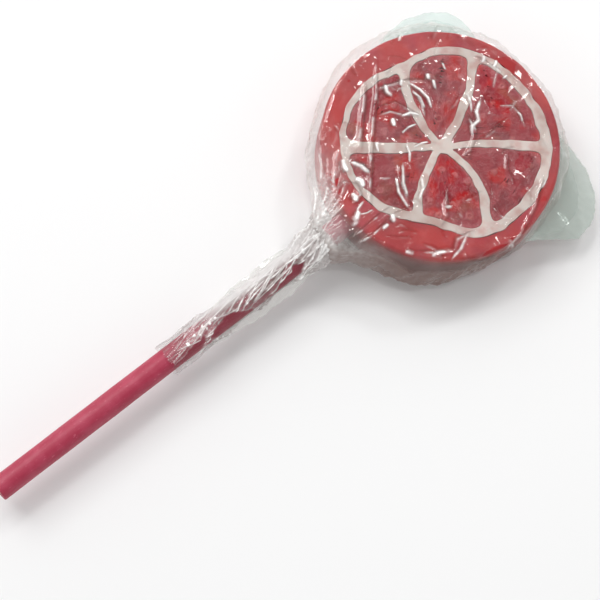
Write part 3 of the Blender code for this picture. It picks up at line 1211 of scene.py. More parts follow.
@dataclass
class Stick(SubAssembly):
    """The rolled paper stick.

    Attributes:
        roll_turns: Half turns of paper that show on an end.
    """

    sides: int = 96
    rows: int = 120
    edge_rounding: float = 0.3
    edge_steps: int = 3
    end_rings: tuple[float, ...] = (0.35, 0.7, 1.05, 1.4, 1.7, 1.95)
    roll_turns: int = 5
    roll_depth: float = 0.07
    roll_slope: float = 0.2
    waver: Ripple = Ripple(21, 0.03, 4.0, 20.0, 12)

    def build(self) -> None:
        """Make the stick with its two rolled ends."""
        inner = STICK_RADIUS - self.edge_rounding
        stations = [(radius, STICK_TIP) for radius in (*self.end_rings, inner)]
        for step in range(1, self.edge_steps + 1):
            turn = math.radians(90 * step / self.edge_steps)
            stations.append((
                inner + self.edge_rounding * math.sin(turn),
                STICK_TIP - self.edge_rounding * (1 - math.cos(turn)),
            ))
        head = list(stations)
        first = STICK_TIP - self.edge_rounding
        last = STICK_END + self.edge_rounding
        stations += [
            (STICK_RADIUS, first + (last - first) * step / self.rows)
            for step in range(1, self.rows)
        ]
        middle = (STICK_TIP + STICK_END) / 2
        stations += [(radius, 2 * middle - y) for radius, y in reversed(head)]
        mesh_data = bmesh.new()
        loops = []
        for radius, y in stations:
            made = bmesh.ops.create_circle(mesh_data, radius=radius, segments=self.sides)["verts"]
            upright = Matrix.Rotation(math.radians(90), 3, "X")
            bmesh.ops.rotate(mesh_data, cent=(0, 0, 0), verts=made, matrix=upright)
            bmesh.ops.translate(mesh_data, vec=(0, y, MID_HEIGHT), verts=made)
            loops.append(list({edge for vert in made for edge in vert.link_edges}))
        for near, far in zip(loops, loops[1:]):
            bmesh.ops.bridge_loops(mesh_data, edges=near + far)
        for loop, y in ((loops[0], STICK_TIP), (loops[-1], STICK_END)):
            pole = mesh_data.verts.new((0, y, MID_HEIGHT))
            for edge in loop:
                mesh_data.faces.new((*edge.verts, pole))
        move_points(mesh_data, self._rolled)
        self.piece("paper_stick", mesh_data, PaperFinish().make(), Slot.STICK, ["stick"], sharp=50)

    def _rolled(self, points: Array) -> Array:
        """Press the paper's spiral into the ends and waver the sides.

        Args:
            points: Rows of x, y, z on the plain stick.

        Returns:
            The rows on the rolled one.
        """
        height = points[:, 2] - MID_HEIGHT
        radius = np.hypot(points[:, 0], height)
        turn = np.arctan2(height, points[:, 0])
        spiral = np.abs(np.sin(radius / STICK_RADIUS * self.roll_turns * math.pi + turn / 2))
        inside = smooth_step((STICK_RADIUS - self.edge_rounding - radius) / self.roll_slope)
        ends = np.where(points[:, 1] > (STICK_TIP + STICK_END) / 2, -1.0, 1.0)
        pressed = ends * inside * self.roll_depth * (1 + spiral)
        scale = 1 + self.waver.at(points) / STICK_RADIUS * (1 - inside)
        return np.column_stack((
            points[:, 0] * scale, points[:, 1] + pressed, MID_HEIGHT + height * scale
        ))


@dataclass
class Cover:
    """What lies in the film by place.

    Attributes:
        height: Relief in millimetres.
        haze: Milkiness of the creases, with the painted highlights on them.
        shade: Painted shade of the lines at their feet and in valleys.
        pressed: Share of the relief that a full fold takes away under it.
    """

    height: Array
    haze: Array
    shade: Array
    pressed: float = 0.7

    def add_fold(self, fold: Array, crest: Array, foot: Array, crease: "Crease") -> None:
        """Lay a crease over what is there.

        Args:
            fold: Its relief from 0 to 1.
            crest: Its sharp milky edge with a painted highlight, from 0 to 1.
            foot: The painted shade line at its foot, from 0 to 1.
            crease: Its sizes.
        """
        self.height = self.height * (1 - self.pressed * fold) + crease.height * fold
        self.haze = np.maximum(self.haze, crease.haze * crest)
        self.shade = np.maximum(self.shade, crease.shade * foot)


@dataclass(frozen=True)
class FoldSection:
    """Section of every fold, in half widths of its foot.

    Attributes:
        reach: How far out it is worked out.
        ends: How many tapering ends would fill a fold's length.
        end_width: Share of the width that is left at the ends.
        worn_crest: Half width of the milky crest with its painted highlight where the fold is
            faint.
        crest_growth: How much wider the crest is where the fold is full.
        foot_place: Where the painted shade line lies.
        foot_width: Its half width.
        bold_haze: Haze over which a fold stays full where others are faint.
        bold_span: How much more haze it takes to be quite full.
    """

    reach: float = 3.5
    ends: float = 7
    end_width: float = 0.35
    worn_crest: float = 0.3
    crest_growth: float = 0.3
    foot_place: float = 1.15
    foot_width: float = 0.5
    bold_haze: float = 0.5
    bold_span: float = 0.3


SECTION = FoldSection()


@dataclass(frozen=True)
class Crease:
    """A raised fold of the film along a line of the plan.

    Attributes:
        points: The line, in millimetres.
        height: How far it stands up.
        width: Half width of its foot.
        haze: How milky its crest is, with its painted highlight.
        shade: How deep the painted shade line at its foot is.
    """

    points: Knots
    height: float = 0.3
    width: float = 0.42
    haze: float = 0.3
    shade: float = 0.42

    def press_into(self, cover: Cover, points: Array, top: Array, wear: Array) -> None:
        """Put the fold into a cover.

        Args:
            cover: The film's cover at the points.
            points: Rows that start with x, y.
            top: 1 on the upper face, 0 below.
            wear: Evenness of folds by place: 0 where they are faint, 1 where they are full.
        """
        line = np.array(self.points, float)
        reach = SECTION.reach * self.width
        low, high = line.min(axis=0) - reach, line.max(axis=0) + reach
        near = np.all((points[:, :2] > low) & (points[:, :2] < high), axis=1) & (top > 0)
        away, share, side = distance_to_lines(points[near], line, closed=False)
        ends = np.clip(np.minimum(share, 1 - share) * SECTION.ends, 0, 1) * top[near]
        narrow = SECTION.end_width
        wide = self.width * (narrow + (1 - narrow) * np.sqrt(4 * share * (1 - share)))
        bold = smooth_step((self.haze - SECTION.bold_haze) / SECTION.bold_span)
        full = wear[near] + (1 - wear[near]) * bold
        # The crest is milky with a painted highlight; the foot is a painted shade line on one
        # side.
        sharp = (SECTION.worn_crest + SECTION.crest_growth * full) * wide
        lower = (side * away - SECTION.foot_place * wide) / (SECTION.foot_width * wide)
        fold = np.zeros(len(points))
        crest = np.zeros(len(points))
        foot = np.zeros(len(points))
        fold[near] = np.exp(-((away / wide) ** 2)) * ends
        crest[near] = np.exp(-((away / sharp) ** 2)) * ends * full
        foot[near] = np.exp(-(lower ** 2)) * ends
        cover.add_fold(fold, crest, foot, self)


# Faint folds: milky crests with a faint painted highlight, and a painted shade line at their feet.
FAINT_FOLDS = (
    Crease(((-22.4, 1.2), (-19.4, -1.5), (-16.4, -4), (-12.6, -8), (-7.9, -12.5), (-3.8, -16.1),
            (1.9, -20.8)), 0.36, 0.45, 0.4),
    Crease(((-20.6, -3.6), (-17.2, -6.6), (-13.4, -10.6), (-8.9, -14.6)), 0.24, 0.5, 0.35),
    Crease(((4.3, -28.1), (4.2, -24.1), (4, -19.9), (4.2, -16.1)), 0.32, 0.36, 0.45),
    Crease(((5.4, -28.9), (6.4, -24.2), (5.8, -17.2), (7.2, -12.4)), 0.32, 0.36, 0.4),
    Crease(((-14.4, 2.2), (-12, 2.9), (-8.9, 2.2), (-6, 0.6)), 0.3, 0.36, 0.4),
    Crease(((-3, 8.1), (-0.9, 8), (2, 7.5), (3.4, 5.7), (4.6, 3.8), (4.8, 1.6)), 0.34, 0.38, 0.45),
    Crease(((-10.6, 17.6), (-9.1, 18.3), (-5.8, 19.7), (-3.4, 20.3)), 0.34, 0.5, 0.35),
    Crease(((13.7, -20.1), (17.8, -15.5), (19, -12.5), (17.7, -10.8), (18.6, -5.4)),
           0.32, 0.42, 0.4),
    Crease(((17.5, 13.4), (21.9, 6.8), (24.8, 0.2), (25.5, -5.9)), 0.3, 0.4, 0.3),
    Crease(((-14, -5.5), (-12.7, -2), (-9, -0.4), (-7.2, -0.3)), 0.32, 0.38, 0.4),
    Crease(((-13.1, -7.9), (-11.8, -4.1), (-9.2, -2.1), (-7.9, 0.3)), 0.28, 0.34, 0.35),
    Crease(((0.8, 14.8), (2.7, 17), (5.2, 17.1), (8, 16.1)), 0.3, 0.38, 0.3),
    Crease(((-17.4, -3.5), (-15.3, 2.1), (-11.4, 7.3), (-11.5, 10.4)), 0.26, 0.6, 0.25),
    Crease(((4.2, 5), (4.7, 9.2), (4.2, 14.7)), 0.28, 0.38, 0.25),
    Crease(((-5.8, -23.8), (-5.8, -21.1), (-3.8, -19.8), (-1.8, -20.4), (-1.2, -23.1)),
           0.36, 0.4, 0.45),
    Crease(((7.5, -4.5), (10.5, -7.8), (12.4, -9.2), (13.4, -12.5)), 0.26, 0.4, 0.15),
    Crease(((9.8, 9.6), (12.2, 7.2), (15.8, 6.2)), 0.28, 0.4, 0.25),
    Crease(((-2.4, -10), (1.8, -12.2), (4.9, -13.5), (7.1, -13.9)), 0.36, 0.38, 0.4),
)

# Folds whose crests carry a near-white painted highlight (glare), with a painted shade line at
# their feet.
PAINTED_GLARE_FOLDS = (
    Crease(((2.8, 6.0), (1.0, 7.4), (0.9, 9.4), (-0.8, 10.2), (-2.5, 12.8)), 0.36, 0.48, 0.95),
    Crease(((-7.0, 3.2), (-9.2, 4.2), (-11.6, 4.1), (-14.6, 3.0)), 0.34, 0.42, 0.9),
    Crease(((-8.0, 2.2), (-10.4, 2.9), (-12.6, 2.5)), 0.26, 0.34, 0.8),
    Crease(((17.1, -17.3), (17.4, -15.6), (18.3, -14.1)), 0.34, 0.5, 0.9),
    Crease(((-14.2, -1.5), (-15.6, -1.7), (-17.1, -1.0)), 0.34, 0.55, 0.95),
    Crease(((2.6, -25.2), (1.5, -24.1), (0.7, -22.6)), 0.36, 0.7, 1.0),
    Crease(((1.4, -24.0), (0.2, -22.6), (-0.4, -20.6)), 0.3, 0.3, 0.85),
    Crease(((1.2, -23.4), (2.0, -21.8), (2.2, -20.2)), 0.26, 0.24, 0.7),
    Crease(((4.6, -13.0), (1.6, -11.7), (-1.7, -9.1)), 0.32, 0.36, 0.85),
    Crease(((6.6, -14.4), (2.6, -13.8), (-0.5, -12.0)), 0.32, 0.34, 0.85),
    Crease(((6.4, -11.6), (5.1, -9.2), (2.8, -7.8)), 0.32, 0.36, 0.8),
    Crease(((-7.1, -19.2), (-8.4, -19.1), (-10.0, -18.3)), 0.36, 0.75, 1.0),
    Crease(((20.2, -14.6), (19.6, -11.4), (17.8, -7.8)), 0.3, 0.34, 0.8),
    Crease(((-8.5, -17.5), (-6.4, -16.3), (-4.1, -15.9)), 0.34, 0.6, 0.95),
    Crease(((-9.6, -2.9), (-9.1, -1.0), (-7.5, 0.5)), 0.3, 0.38, 0.9),
    Crease(((-6.1, 19.2), (-6.4, 20.3), (-7.1, 21.2)), 0.32, 0.46, 0.9),
    Crease(((-2.6, -18.8), (-3.9, -18.3), (-5.2, -18.9)), 0.36, 0.8, 1.0),
    Crease(((7.0, -18.6), (5.2, -17.8)), 0.36, 0.62, 0.95),
    Crease(((-8.4, 18.2), (-8.7, 19.0), (-9.4, 19.5)), 0.32, 0.5, 0.9),
    Crease(((-8.8, -5.4), (-10.5, -4.5)), 0.34, 0.58, 1.0),
    Crease(((-1.3, 9.2), (-3.2, 10.7), (-5.5, 11.4)), 0.28, 0.3, 0.85),
    Crease(((-1.2, -22.1), (-2.0, -21.4), (-3.2, -21.5)), 0.34, 0.75, 0.95),
    Crease(((-9.9, 6.7), (-11.8, 7.6)), 0.3, 0.4, 0.85),
    Crease(((-2.9, -5.0), (-2.6, -3.2), (-1.9, -1.8)), 0.28, 0.28, 0.85),
    Crease(((-0.8, -8.0), (-2.4, -6.6), (-4.5, -5.8)), 0.28, 0.3, 0.85),
    Crease(((13.0, -20.7), (14.5, -19.6)), 0.3, 0.42, 0.9),
    Crease(((-12.3, 6.9), (-13.5, 7.6)), 0.3, 0.52, 0.9),
    Crease(((-14.8, 1.4), (-15.9, 2.5)), 0.3, 0.46, 0.9),
    Crease(((-6.7, -5.2), (-6.9, -3.2), (-6.4, -1.2)), 0.26, 0.26, 0.8),
    Crease(((6.6, -21.4), (6.5, -19.7)), 0.34, 0.48, 0.9),
    Crease(((11.0, -8.3), (11.6, -7.0)), 0.3, 0.44, 0.85),
    Crease(((-6.6, -11.6), (-8.6, -10.6)), 0.3, 0.36, 0.9),
    Crease(((6.8, 16.4), (5.4, 17.1), (4.3, 17.1)), 0.26, 0.28, 0.75),
    Crease(((-22.7, 7.4), (-23.3, 8.5)), 0.28, 0.4, 0.85),
    Crease(((-11.8, 11.0), (-13.4, 11.5)), 0.26, 0.28, 0.75),
    Crease(((-3.0, 19.4), (-3.1, 20.8)), 0.3, 0.38, 0.85),
    Crease(((20.0, 10.3), (19.3, 12.2)), 0.26, 0.28, 0.75),
    Crease(((-19.3, -2.4), (-19.9, -1.3)), 0.26, 0.3, 0.75),
)


@dataclass(frozen=True)
class Gather:
    """One side of the film that is gathered at the neck.

    Attributes:
        start: Bearing from the neck at which it sets in, in degrees.
        span: Degrees over which it grows.
        weight: How strongly the film is gathered.
        reach: How much further its pleats run up the disc.
    """

    start: float
    span: float
    weight: float
    reach: float


@dataclass(frozen=True)
class FilmRelief:
    """All folds and waves of the film over the disc.

    Attributes:
        wear: Where folds are faint and where full.
        pleat_sway: Sizes and paces of the pleats' bends on the way out.
        throat: Distance from the neck within which all film is gathered.
        calm: Bearing and span in degrees over which the pleats grow flatter.
        half_lengths: Smallest and largest half length of a short fold.
    """

    creases: tuple[Crease, ...] = FAINT_FOLDS + PAINTED_GLARE_FOLDS
    wear: Ripple = Ripple(71, 1.0, 1.4, 5.0, 12)
    swell: Ripple = Ripple(3, 0.46, 6.5, 20.0, 18)
    crumple: Ripple = Ripple(14, 0.1, 2.6, 7.0, 14, True)
    patches: Ripple = Ripple(17, 1.0, 6.0, 16.0, 10)
    neck: Pair = (0.0, -33.0)
    pleats: int = 74
    pleat_fan: float = 2.4
    pleat_height: float = 0.42
    pleat_sway: Knots = ((0.8, 0.45), (0.4, 1.1))
    reach: float = 9.0
    throat: float = 7.5
    left: Gather = Gather(8, 28, 1.0, 17.0)
    right: Gather = Gather(32, 22, 0.75, 11.0)
    calm: Pair = (15, 40)
    small_folds: int = 60
    fold_seed: int = 29
    fold_radius: float = 25.5
    neck_reach: float = 30
    half_lengths: Pair = (0.9, 2.8)
    heights: Pair = (0.14, 0.28)
    widths: Pair = (0.3, 0.45)
    hazes: Pair = (0.05, 0.32)
    shades: Pair = (0.05, 0.25)
    bend: float = 0.25

    def scattered(self) -> list[Crease]:
        """Draw the short folds, closer together towards the neck and the rim.

        Returns:
            The folds.
        """
        draw = np.random.default_rng(self.fold_seed)
        made = []
        while len(made) < self.small_folds:
            radius = self.fold_radius * math.sqrt(draw.uniform(0.05, 1))
            angle = draw.uniform(0, 360)
            x, y = polar(radius, angle)
            east, north = x - self.neck[0], y - self.neck[1]
            near_neck = max(0.0, 1 - math.hypot(east, north) / self.neck_reach)
            crowd = 0.2 + 0.5 * near_neck + 0.45 * (radius / self.fold_radius) ** 4
            if draw.uniform() > crowd:
                continue
            heading = draw.uniform(0, math.pi)
            if near_neck > 0.3:
                heading = math.atan2(north, east) + draw.normal() * self.bend
            reach = draw.uniform(*self.half_lengths)
            bend = draw.normal() * self.bend * reach
            side = Vector((-math.sin(heading), math.cos(heading)))
            along = Vector((math.cos(heading), math.sin(heading)))
            middle = Vector((x, y))
            line = [middle - along * reach, middle + side * bend, middle + along * reach]
            made.append(Crease(
                tuple((point.x, point.y) for point in line),
                draw.uniform(*self.heights), draw.uniform(*self.widths),
                draw.uniform(*self.hazes), draw.uniform(*self.shades),
            ))
        return made

    def gathered(self, points: Array) -> tuple[Array, Array]:
        """Pleats that fan out of the neck.

        Args:
            points: Rows of x, y, z.

        Returns:
            How strongly the film is gathered, from 0 to 1, and the pleats' wave from -1 to 1.
        """
        east = points[:, 0] - self.neck[0]
        north = points[:, 1] - self.neck[1]
        bearing = np.arctan2(east, np.maximum(north, 0.01))
        away = np.hypot(east, north)
        degrees = np.degrees(bearing)
        left = smooth_step((-degrees - self.left.start) / self.left.span)
        right = smooth_step((degrees - self.right.start) / self.right.span)
        weight = np.maximum(self.left.weight * left, self.right.weight * right)
        weight = np.maximum(weight, 0.1 + 0.8 * smooth_step((self.throat - away) / 3))
        reach = self.reach + self.left.reach * left + self.right.reach * right
        strength = weight * smooth_step(1.25 * (1 - away / reach))
        level = np.arctan2(points[:, 2] - MID_HEIGHT, np.abs(east) + 1.0)
        turn = bearing * self.pleats / self.pleat_fan + level * 1.2
        for size, pace in self.pleat_sway:
            turn = turn + size * np.sin(away * pace)
        wave = 1 - 2 * np.abs(np.sin(turn))
        second = 1 - 2 * np.abs(np.sin(turn * 0.57 + 1.1 + 0.9 * np.sin(away * 0.5)))
        calm = 1 - 0.7 * smooth_step((degrees - self.calm[0]) / self.calm[1])
        return strength, (0.55 * wave + 0.45 * second) * calm

    def at(self, points: Array, top: Array) -> Cover:
        """Relief and thickening of the film, with painted highlights on crests and painted shade
        at feet and in valleys.

        Args:
            points: Rows of x, y, z in millimetres.
            top: 1 on the upper face, 0 below.

        Returns:
            The film's cover.
        """
        mask = smooth_step(0.5 + 0.9 * self.patches.at(points))
        strength, wave = self.gathered(points)
        height = (self.swell.at(points) + self.crumple.at(points) * mask) * (1 - 0.5 * strength)
        height = height + self.pleat_height * strength * wave
        cover = Cover(height, 0.02 * mask, np.zeros(len(points)))
        wear = smooth_step(0.45 + 1.1 * self.wear.at(points * (1.0, 1.0, 0.0)))
        for crease in [*self.creases, *self.scattered()]:
            crease.press_into(cover, points, top, wear)
        # Painted highlight on the crests of the gathered pleats, painted shade in their valleys.
        painted_crest_light = smooth_step((wave - 0.15) / 0.6)
        painted_shade = smooth_step((-0.45 - wave) / 0.3)
        cover.haze = np.maximum(cover.haze, strength * (0.26 + 0.7 * painted_crest_light))
        cover.shade = np.maximum(cover.shade, 0.3 * strength * painted_shade)
        return cover


@dataclass
class Pouch(SubAssembly):
    """The film round the disc, drawn in to the neck.

    Attributes:
        outline: Angles and radii of its widest edge.
        wall_grain: Factors on X, Y and Z that draw the side's folds out round the disc.
        near_side: Angle of the side that faces the photo's camera.
        foot_height: Height at which the painted shade at the foot of that side starts.
    """

    outline: Knots = (
        (0, 26.3), (24, 27.0), (48, 28.0), (72, 26.9), (96, 26.9), (120, 27.6), (144, 28.6),
        (166, 28.0), (184, 28.2), (204, 27.0), (220, 26.9), (236, 27.9), (248, 28.0), (257, 29.2),
        (264, 32.4), (276, 33.4), (283, 30.0), (292, 28.5), (308, 28.6), (328, 27.0), (344, 25.9),
        (352, 25.8),
    )
    relief: FilmRelief = field(default_factory=FilmRelief)
    face_cells: int = 220
    side_rows: int = 46
    back_rows: int = 9
    flat_radius: float = 24.0
    lift: float = 0.2
    roundness: float = 2.3
    back_relief: float = 0.35
    rim_folds: Ripple = Ripple(37, 0.42, 1.8, 7.0, 16, True)
    rim_fold_lean: float = 0.3
    wall_folds: Ripple = Ripple(57, 1.0, 1.1, 3.8, 18, True)
    wall_grain: Triple = (0.16, 0.16, 1.5)
    floor_clearance: float = 0.03
    near_side: float = -50.0
    foot_height: float = 11.6
    foot_span: float = 2.0

    def build(self) -> None:
        """Make the pouch."""
        mesh_data = self._blank()
        move_points(mesh_data, self._shape)
        finish = FilmFinish("clear film", shadow=linear(86, 56, 50)).make()
        self.piece(
            "film_pouch", mesh_data, finish, Slot.FILM, ["wrapper"], sharp=180,
            layers=self._layers,
        )

    def _blank(self) -> BMesh:
        """Make a flat square grid, its edge drawn down row by row and closed at the back.

        The height of a vertex is minus the number of its row.

        Returns:
            The blank.
        """
        mesh_data = bmesh.new()
        bmesh.ops.create_grid(
            mesh_data, x_segments=self.face_cells, y_segments=self.face_cells, size=1
        )
        rim = [edge for edge in mesh_data.edges if edge.is_boundary]
        for _ in range(self.side_rows + self.back_rows - 1):
            grown = bmesh.ops.extrude_edge_only(mesh_data, edges=rim)["geom"]
            lower = [part for part in grown if isinstance(part, bmesh.types.BMVert)]
            bmesh.ops.translate(mesh_data, vec=(0, 0, -1), verts=lower)
            rim = [
                part for part in grown
                if isinstance(part, bmesh.types.BMEdge) and part.is_boundary
            ]
        pole = mesh_data.verts.new((0, 0, -(self.side_rows + self.back_rows)))
        for edge in rim:
            mesh_data.faces.new((*edge.verts, pole))
        return mesh_data

    def _shape(self, blank: Array) -> Array:
        """Places on the film of points on the blank.

        Args:
            blank: Rows of x, y, z on the blank.

        Returns:
            The rows on the film.
        """
        across, along, row = blank[:, 0], blank[:, 1], -blank[:, 2]
        wide = np.abs(across) > np.abs(along)
        with np.errstate(divide="ignore", invalid="ignore"):
            turn = np.where(
                wide, math.pi / 4 * along / across, math.pi / 2 - math.pi / 4 * across / along
            )
        reach = np.where(wide, across, along)
        turn = np.nan_to_num(turn) + np.where(reach < 0, math.pi, 0)
        degrees = np.degrees(turn) % 360
        rim = periodic(self.outline, degrees)
        down = np.clip(row / self.side_rows, 0, 1)
        level = math.pi * (0.5 - down - 0.05 * np.sin(2 * math.pi * down))
        side = np.abs(np.cos(level)) ** (2 / self.roundness) * (down > 0) * (down < 1)
        height = np.sign(level) * np.abs(np.sin(level)) ** (2 / self.roundness)
        back = np.clip((row - self.side_rows) / self.back_rows, 0, 1)
        radius = np.where(
            row == 0, np.abs(reach) * self.flat_radius,
            (self.flat_radius + (rim - self.flat_radius) * side) * (1 - back),
        )
        above = np.where(height < 0, MID_HEIGHT - self.floor_clearance, CANDY_HALF + self.lift)
        z = MID_HEIGHT + above * height
        points = np.column_stack((radius * np.cos(turn), radius * np.sin(turn), z))
        relief = self.relief.at(points, self._top(points)).height
        relief = relief * np.where(height < -0.2, self.back_relief, 1.0)
        radius = radius + relief * side + self._rim_fold(turn, z) * side
        z = z + relief * height
        return np.column_stack((
            radius * np.cos(turn), radius * np.sin(turn), np.maximum(z, self.floor_clearance)
        ))

    def _top(self, points: Array) -> Array:
        """1 on the upper face, 0 below the middle."""
        return smooth_step((points[:, 2] - MID_HEIGHT - 2) / 3)

    def _rim_fold(self, turn: Array, z: Array) -> Array:
        """Upright folds of the film round the rim.

        Args:
            turn: Angles round the disc in radians.
            z: Heights.

        Returns:
            How far the folds stand out, in millimetres.
        """
        level = self.rim_fold_lean * (z - MID_HEIGHT)
        return self.rim_folds.at(np.column_stack((
            CANDY_RADIUS * np.cos(turn), CANDY_RADIUS * np.sin(turn), level
        )))

    def _layers(self, points: Array) -> dict[str, Array]:
        """Thickening of the film, with painted highlights and painted shade.

        Args:
            points: Rows of x, y, z in millimetres.

        Returns:
            The values that the finish reads, by name.
        """
        cover = self.relief.at(points, self._top(points))
        radius = np.hypot(points[:, 0], points[:, 1])
        turn = np.arctan2(points[:, 1], points[:, 0])
        beyond = smooth_step((radius - CANDY_RADIUS + 0.4) / 1.4)
        low = 1 - smooth_step((points[:, 2] - MID_HEIGHT - 3.4) / 2.4)
        near = smooth_step((np.cos(turn - math.radians(self.near_side)) - 0.55) / 0.35)
        fold = smooth_step(0.5 + 5.0 * self._rim_fold(turn, points[:, 2]))
        level = self.wall_folds.at(points * self.wall_grain)
        # On the low wall of the near side, painted shade deepens the film, most at the foot and in
        # the fold valleys, while fold crests get a painted highlight; that side is also slightly
        # greyer.
        wall = low * near * beyond
        sunk = smooth_step((-0.04 - level) / 0.08)
        raised = smooth_step((level - 0.18) / 0.08)
        foot = smooth_step((self.foot_height - points[:, 2]) / self.foot_span)
        # pale adds milky film past the rim and a painted highlight on the wall's fold crests;
        # brown is the near wall's painted shade.
        pale = 0.16 * beyond * fold * (1 - near) + 0.4 * wall * raised * (1 - 0.7 * foot)
        painted_wall_shade = wall * (0.24 + 0.1 * (1 - fold) + 0.45 * sunk + 0.6 * foot)
        return {
            "haze": cover.haze + pale,
            "dull": beyond * 0.08 + 0.04 * low * near,
            "shade": cover.shade * (1 - 0.4 * beyond) + painted_wall_shade,
        }


@dataclass(frozen=True)
class Strand:
    """A narrow pleat of the twist.

    Attributes:
        turn: Its angle round the stick at its middle, in radians.
        middle: Place of its middle along Y.
        reach: Half its length along Y.
        width: Its half width in radians.
        height: How far it stands out, in millimetres.
        lean: How fast it winds, in radians for each millimetre.
    """

    turn: float
    middle: float
    reach: float
    width: float
    height: float
    lean: float

    def at(self, turn: Array, y: Array) -> Array:
        """Relief of the pleat.

        Args:
            turn: Angles round the stick in radians.
            y: Places along Y.

        Returns:
            The relief from 0 to 1.
        """
        away = turn - self.turn - self.lean * (y - self.middle)
        away = (away + math.pi) % (2 * math.pi) - math.pi
        fade = smooth_step(2.5 * (1 - np.abs(y - self.middle) / self.reach))
        return np.exp(-((away / self.width) ** 2)) * fade


@dataclass(frozen=True)
class Window:
    """A smooth clear place of the twist through which the stick shows.

    Attributes:
        edge: Its outline as pairs of a place along Y and an angle round the stick in degrees.
    """

    edge: Knots

    def depth(self, y: Array, degrees: Array) -> Array:
        """How deep places lie inside the window.

        Args:
            y: Places along Y.
            degrees: Angles round the stick.

        Returns:
            Distance inside the outline in millimetres, negative outside.
        """
        scale = (1.0, math.radians(STICK_RADIUS))
        line = np.array(self.edge, float) * scale
        places = np.column_stack((y, degrees)) * scale
        away = distance_to_lines(places, line, closed=True)[0]
        inside = np.zeros(len(y), bool)
        for start, end in zip(line, np.roll(line, -1, axis=0)):
            crosses = (start[1] > places[:, 1]) != (end[1] > places[:, 1])
            rise = end[1] - start[1] if end[1] != start[1] else 1.0
            cut = start[0] + (places[:, 1] - start[1]) * (end[0] - start[0]) / rise
            inside ^= crosses & (places[:, 0] < cut)
        return np.where(inside, away, -away)


SHOWN_WINDOWS = (
    Window((
        (-37.0, 66), (-39.5, 70), (-42.0, 56), (-45.0, 36), (-48.2, -2), (-48.0, -36),
        (-43.0, -36), (-40.0, 16), (-38.0, 44),
    )),
    Window((
        (-50.0, -12), (-52.0, 34), (-54.6, 62), (-57.4, 84), (-59.6, 70), (-62.0, 46),
        (-60.0, 18), (-57.5, -8), (-55.0, -30), (-50.8, -30),
    )),
    Window((
        (-63.2, 66), (-66.0, 64), (-69.2, 56), (-72.5, 34), (-72.0, 8), (-66.5, 22),
        (-63.6, 44),
    )),
)


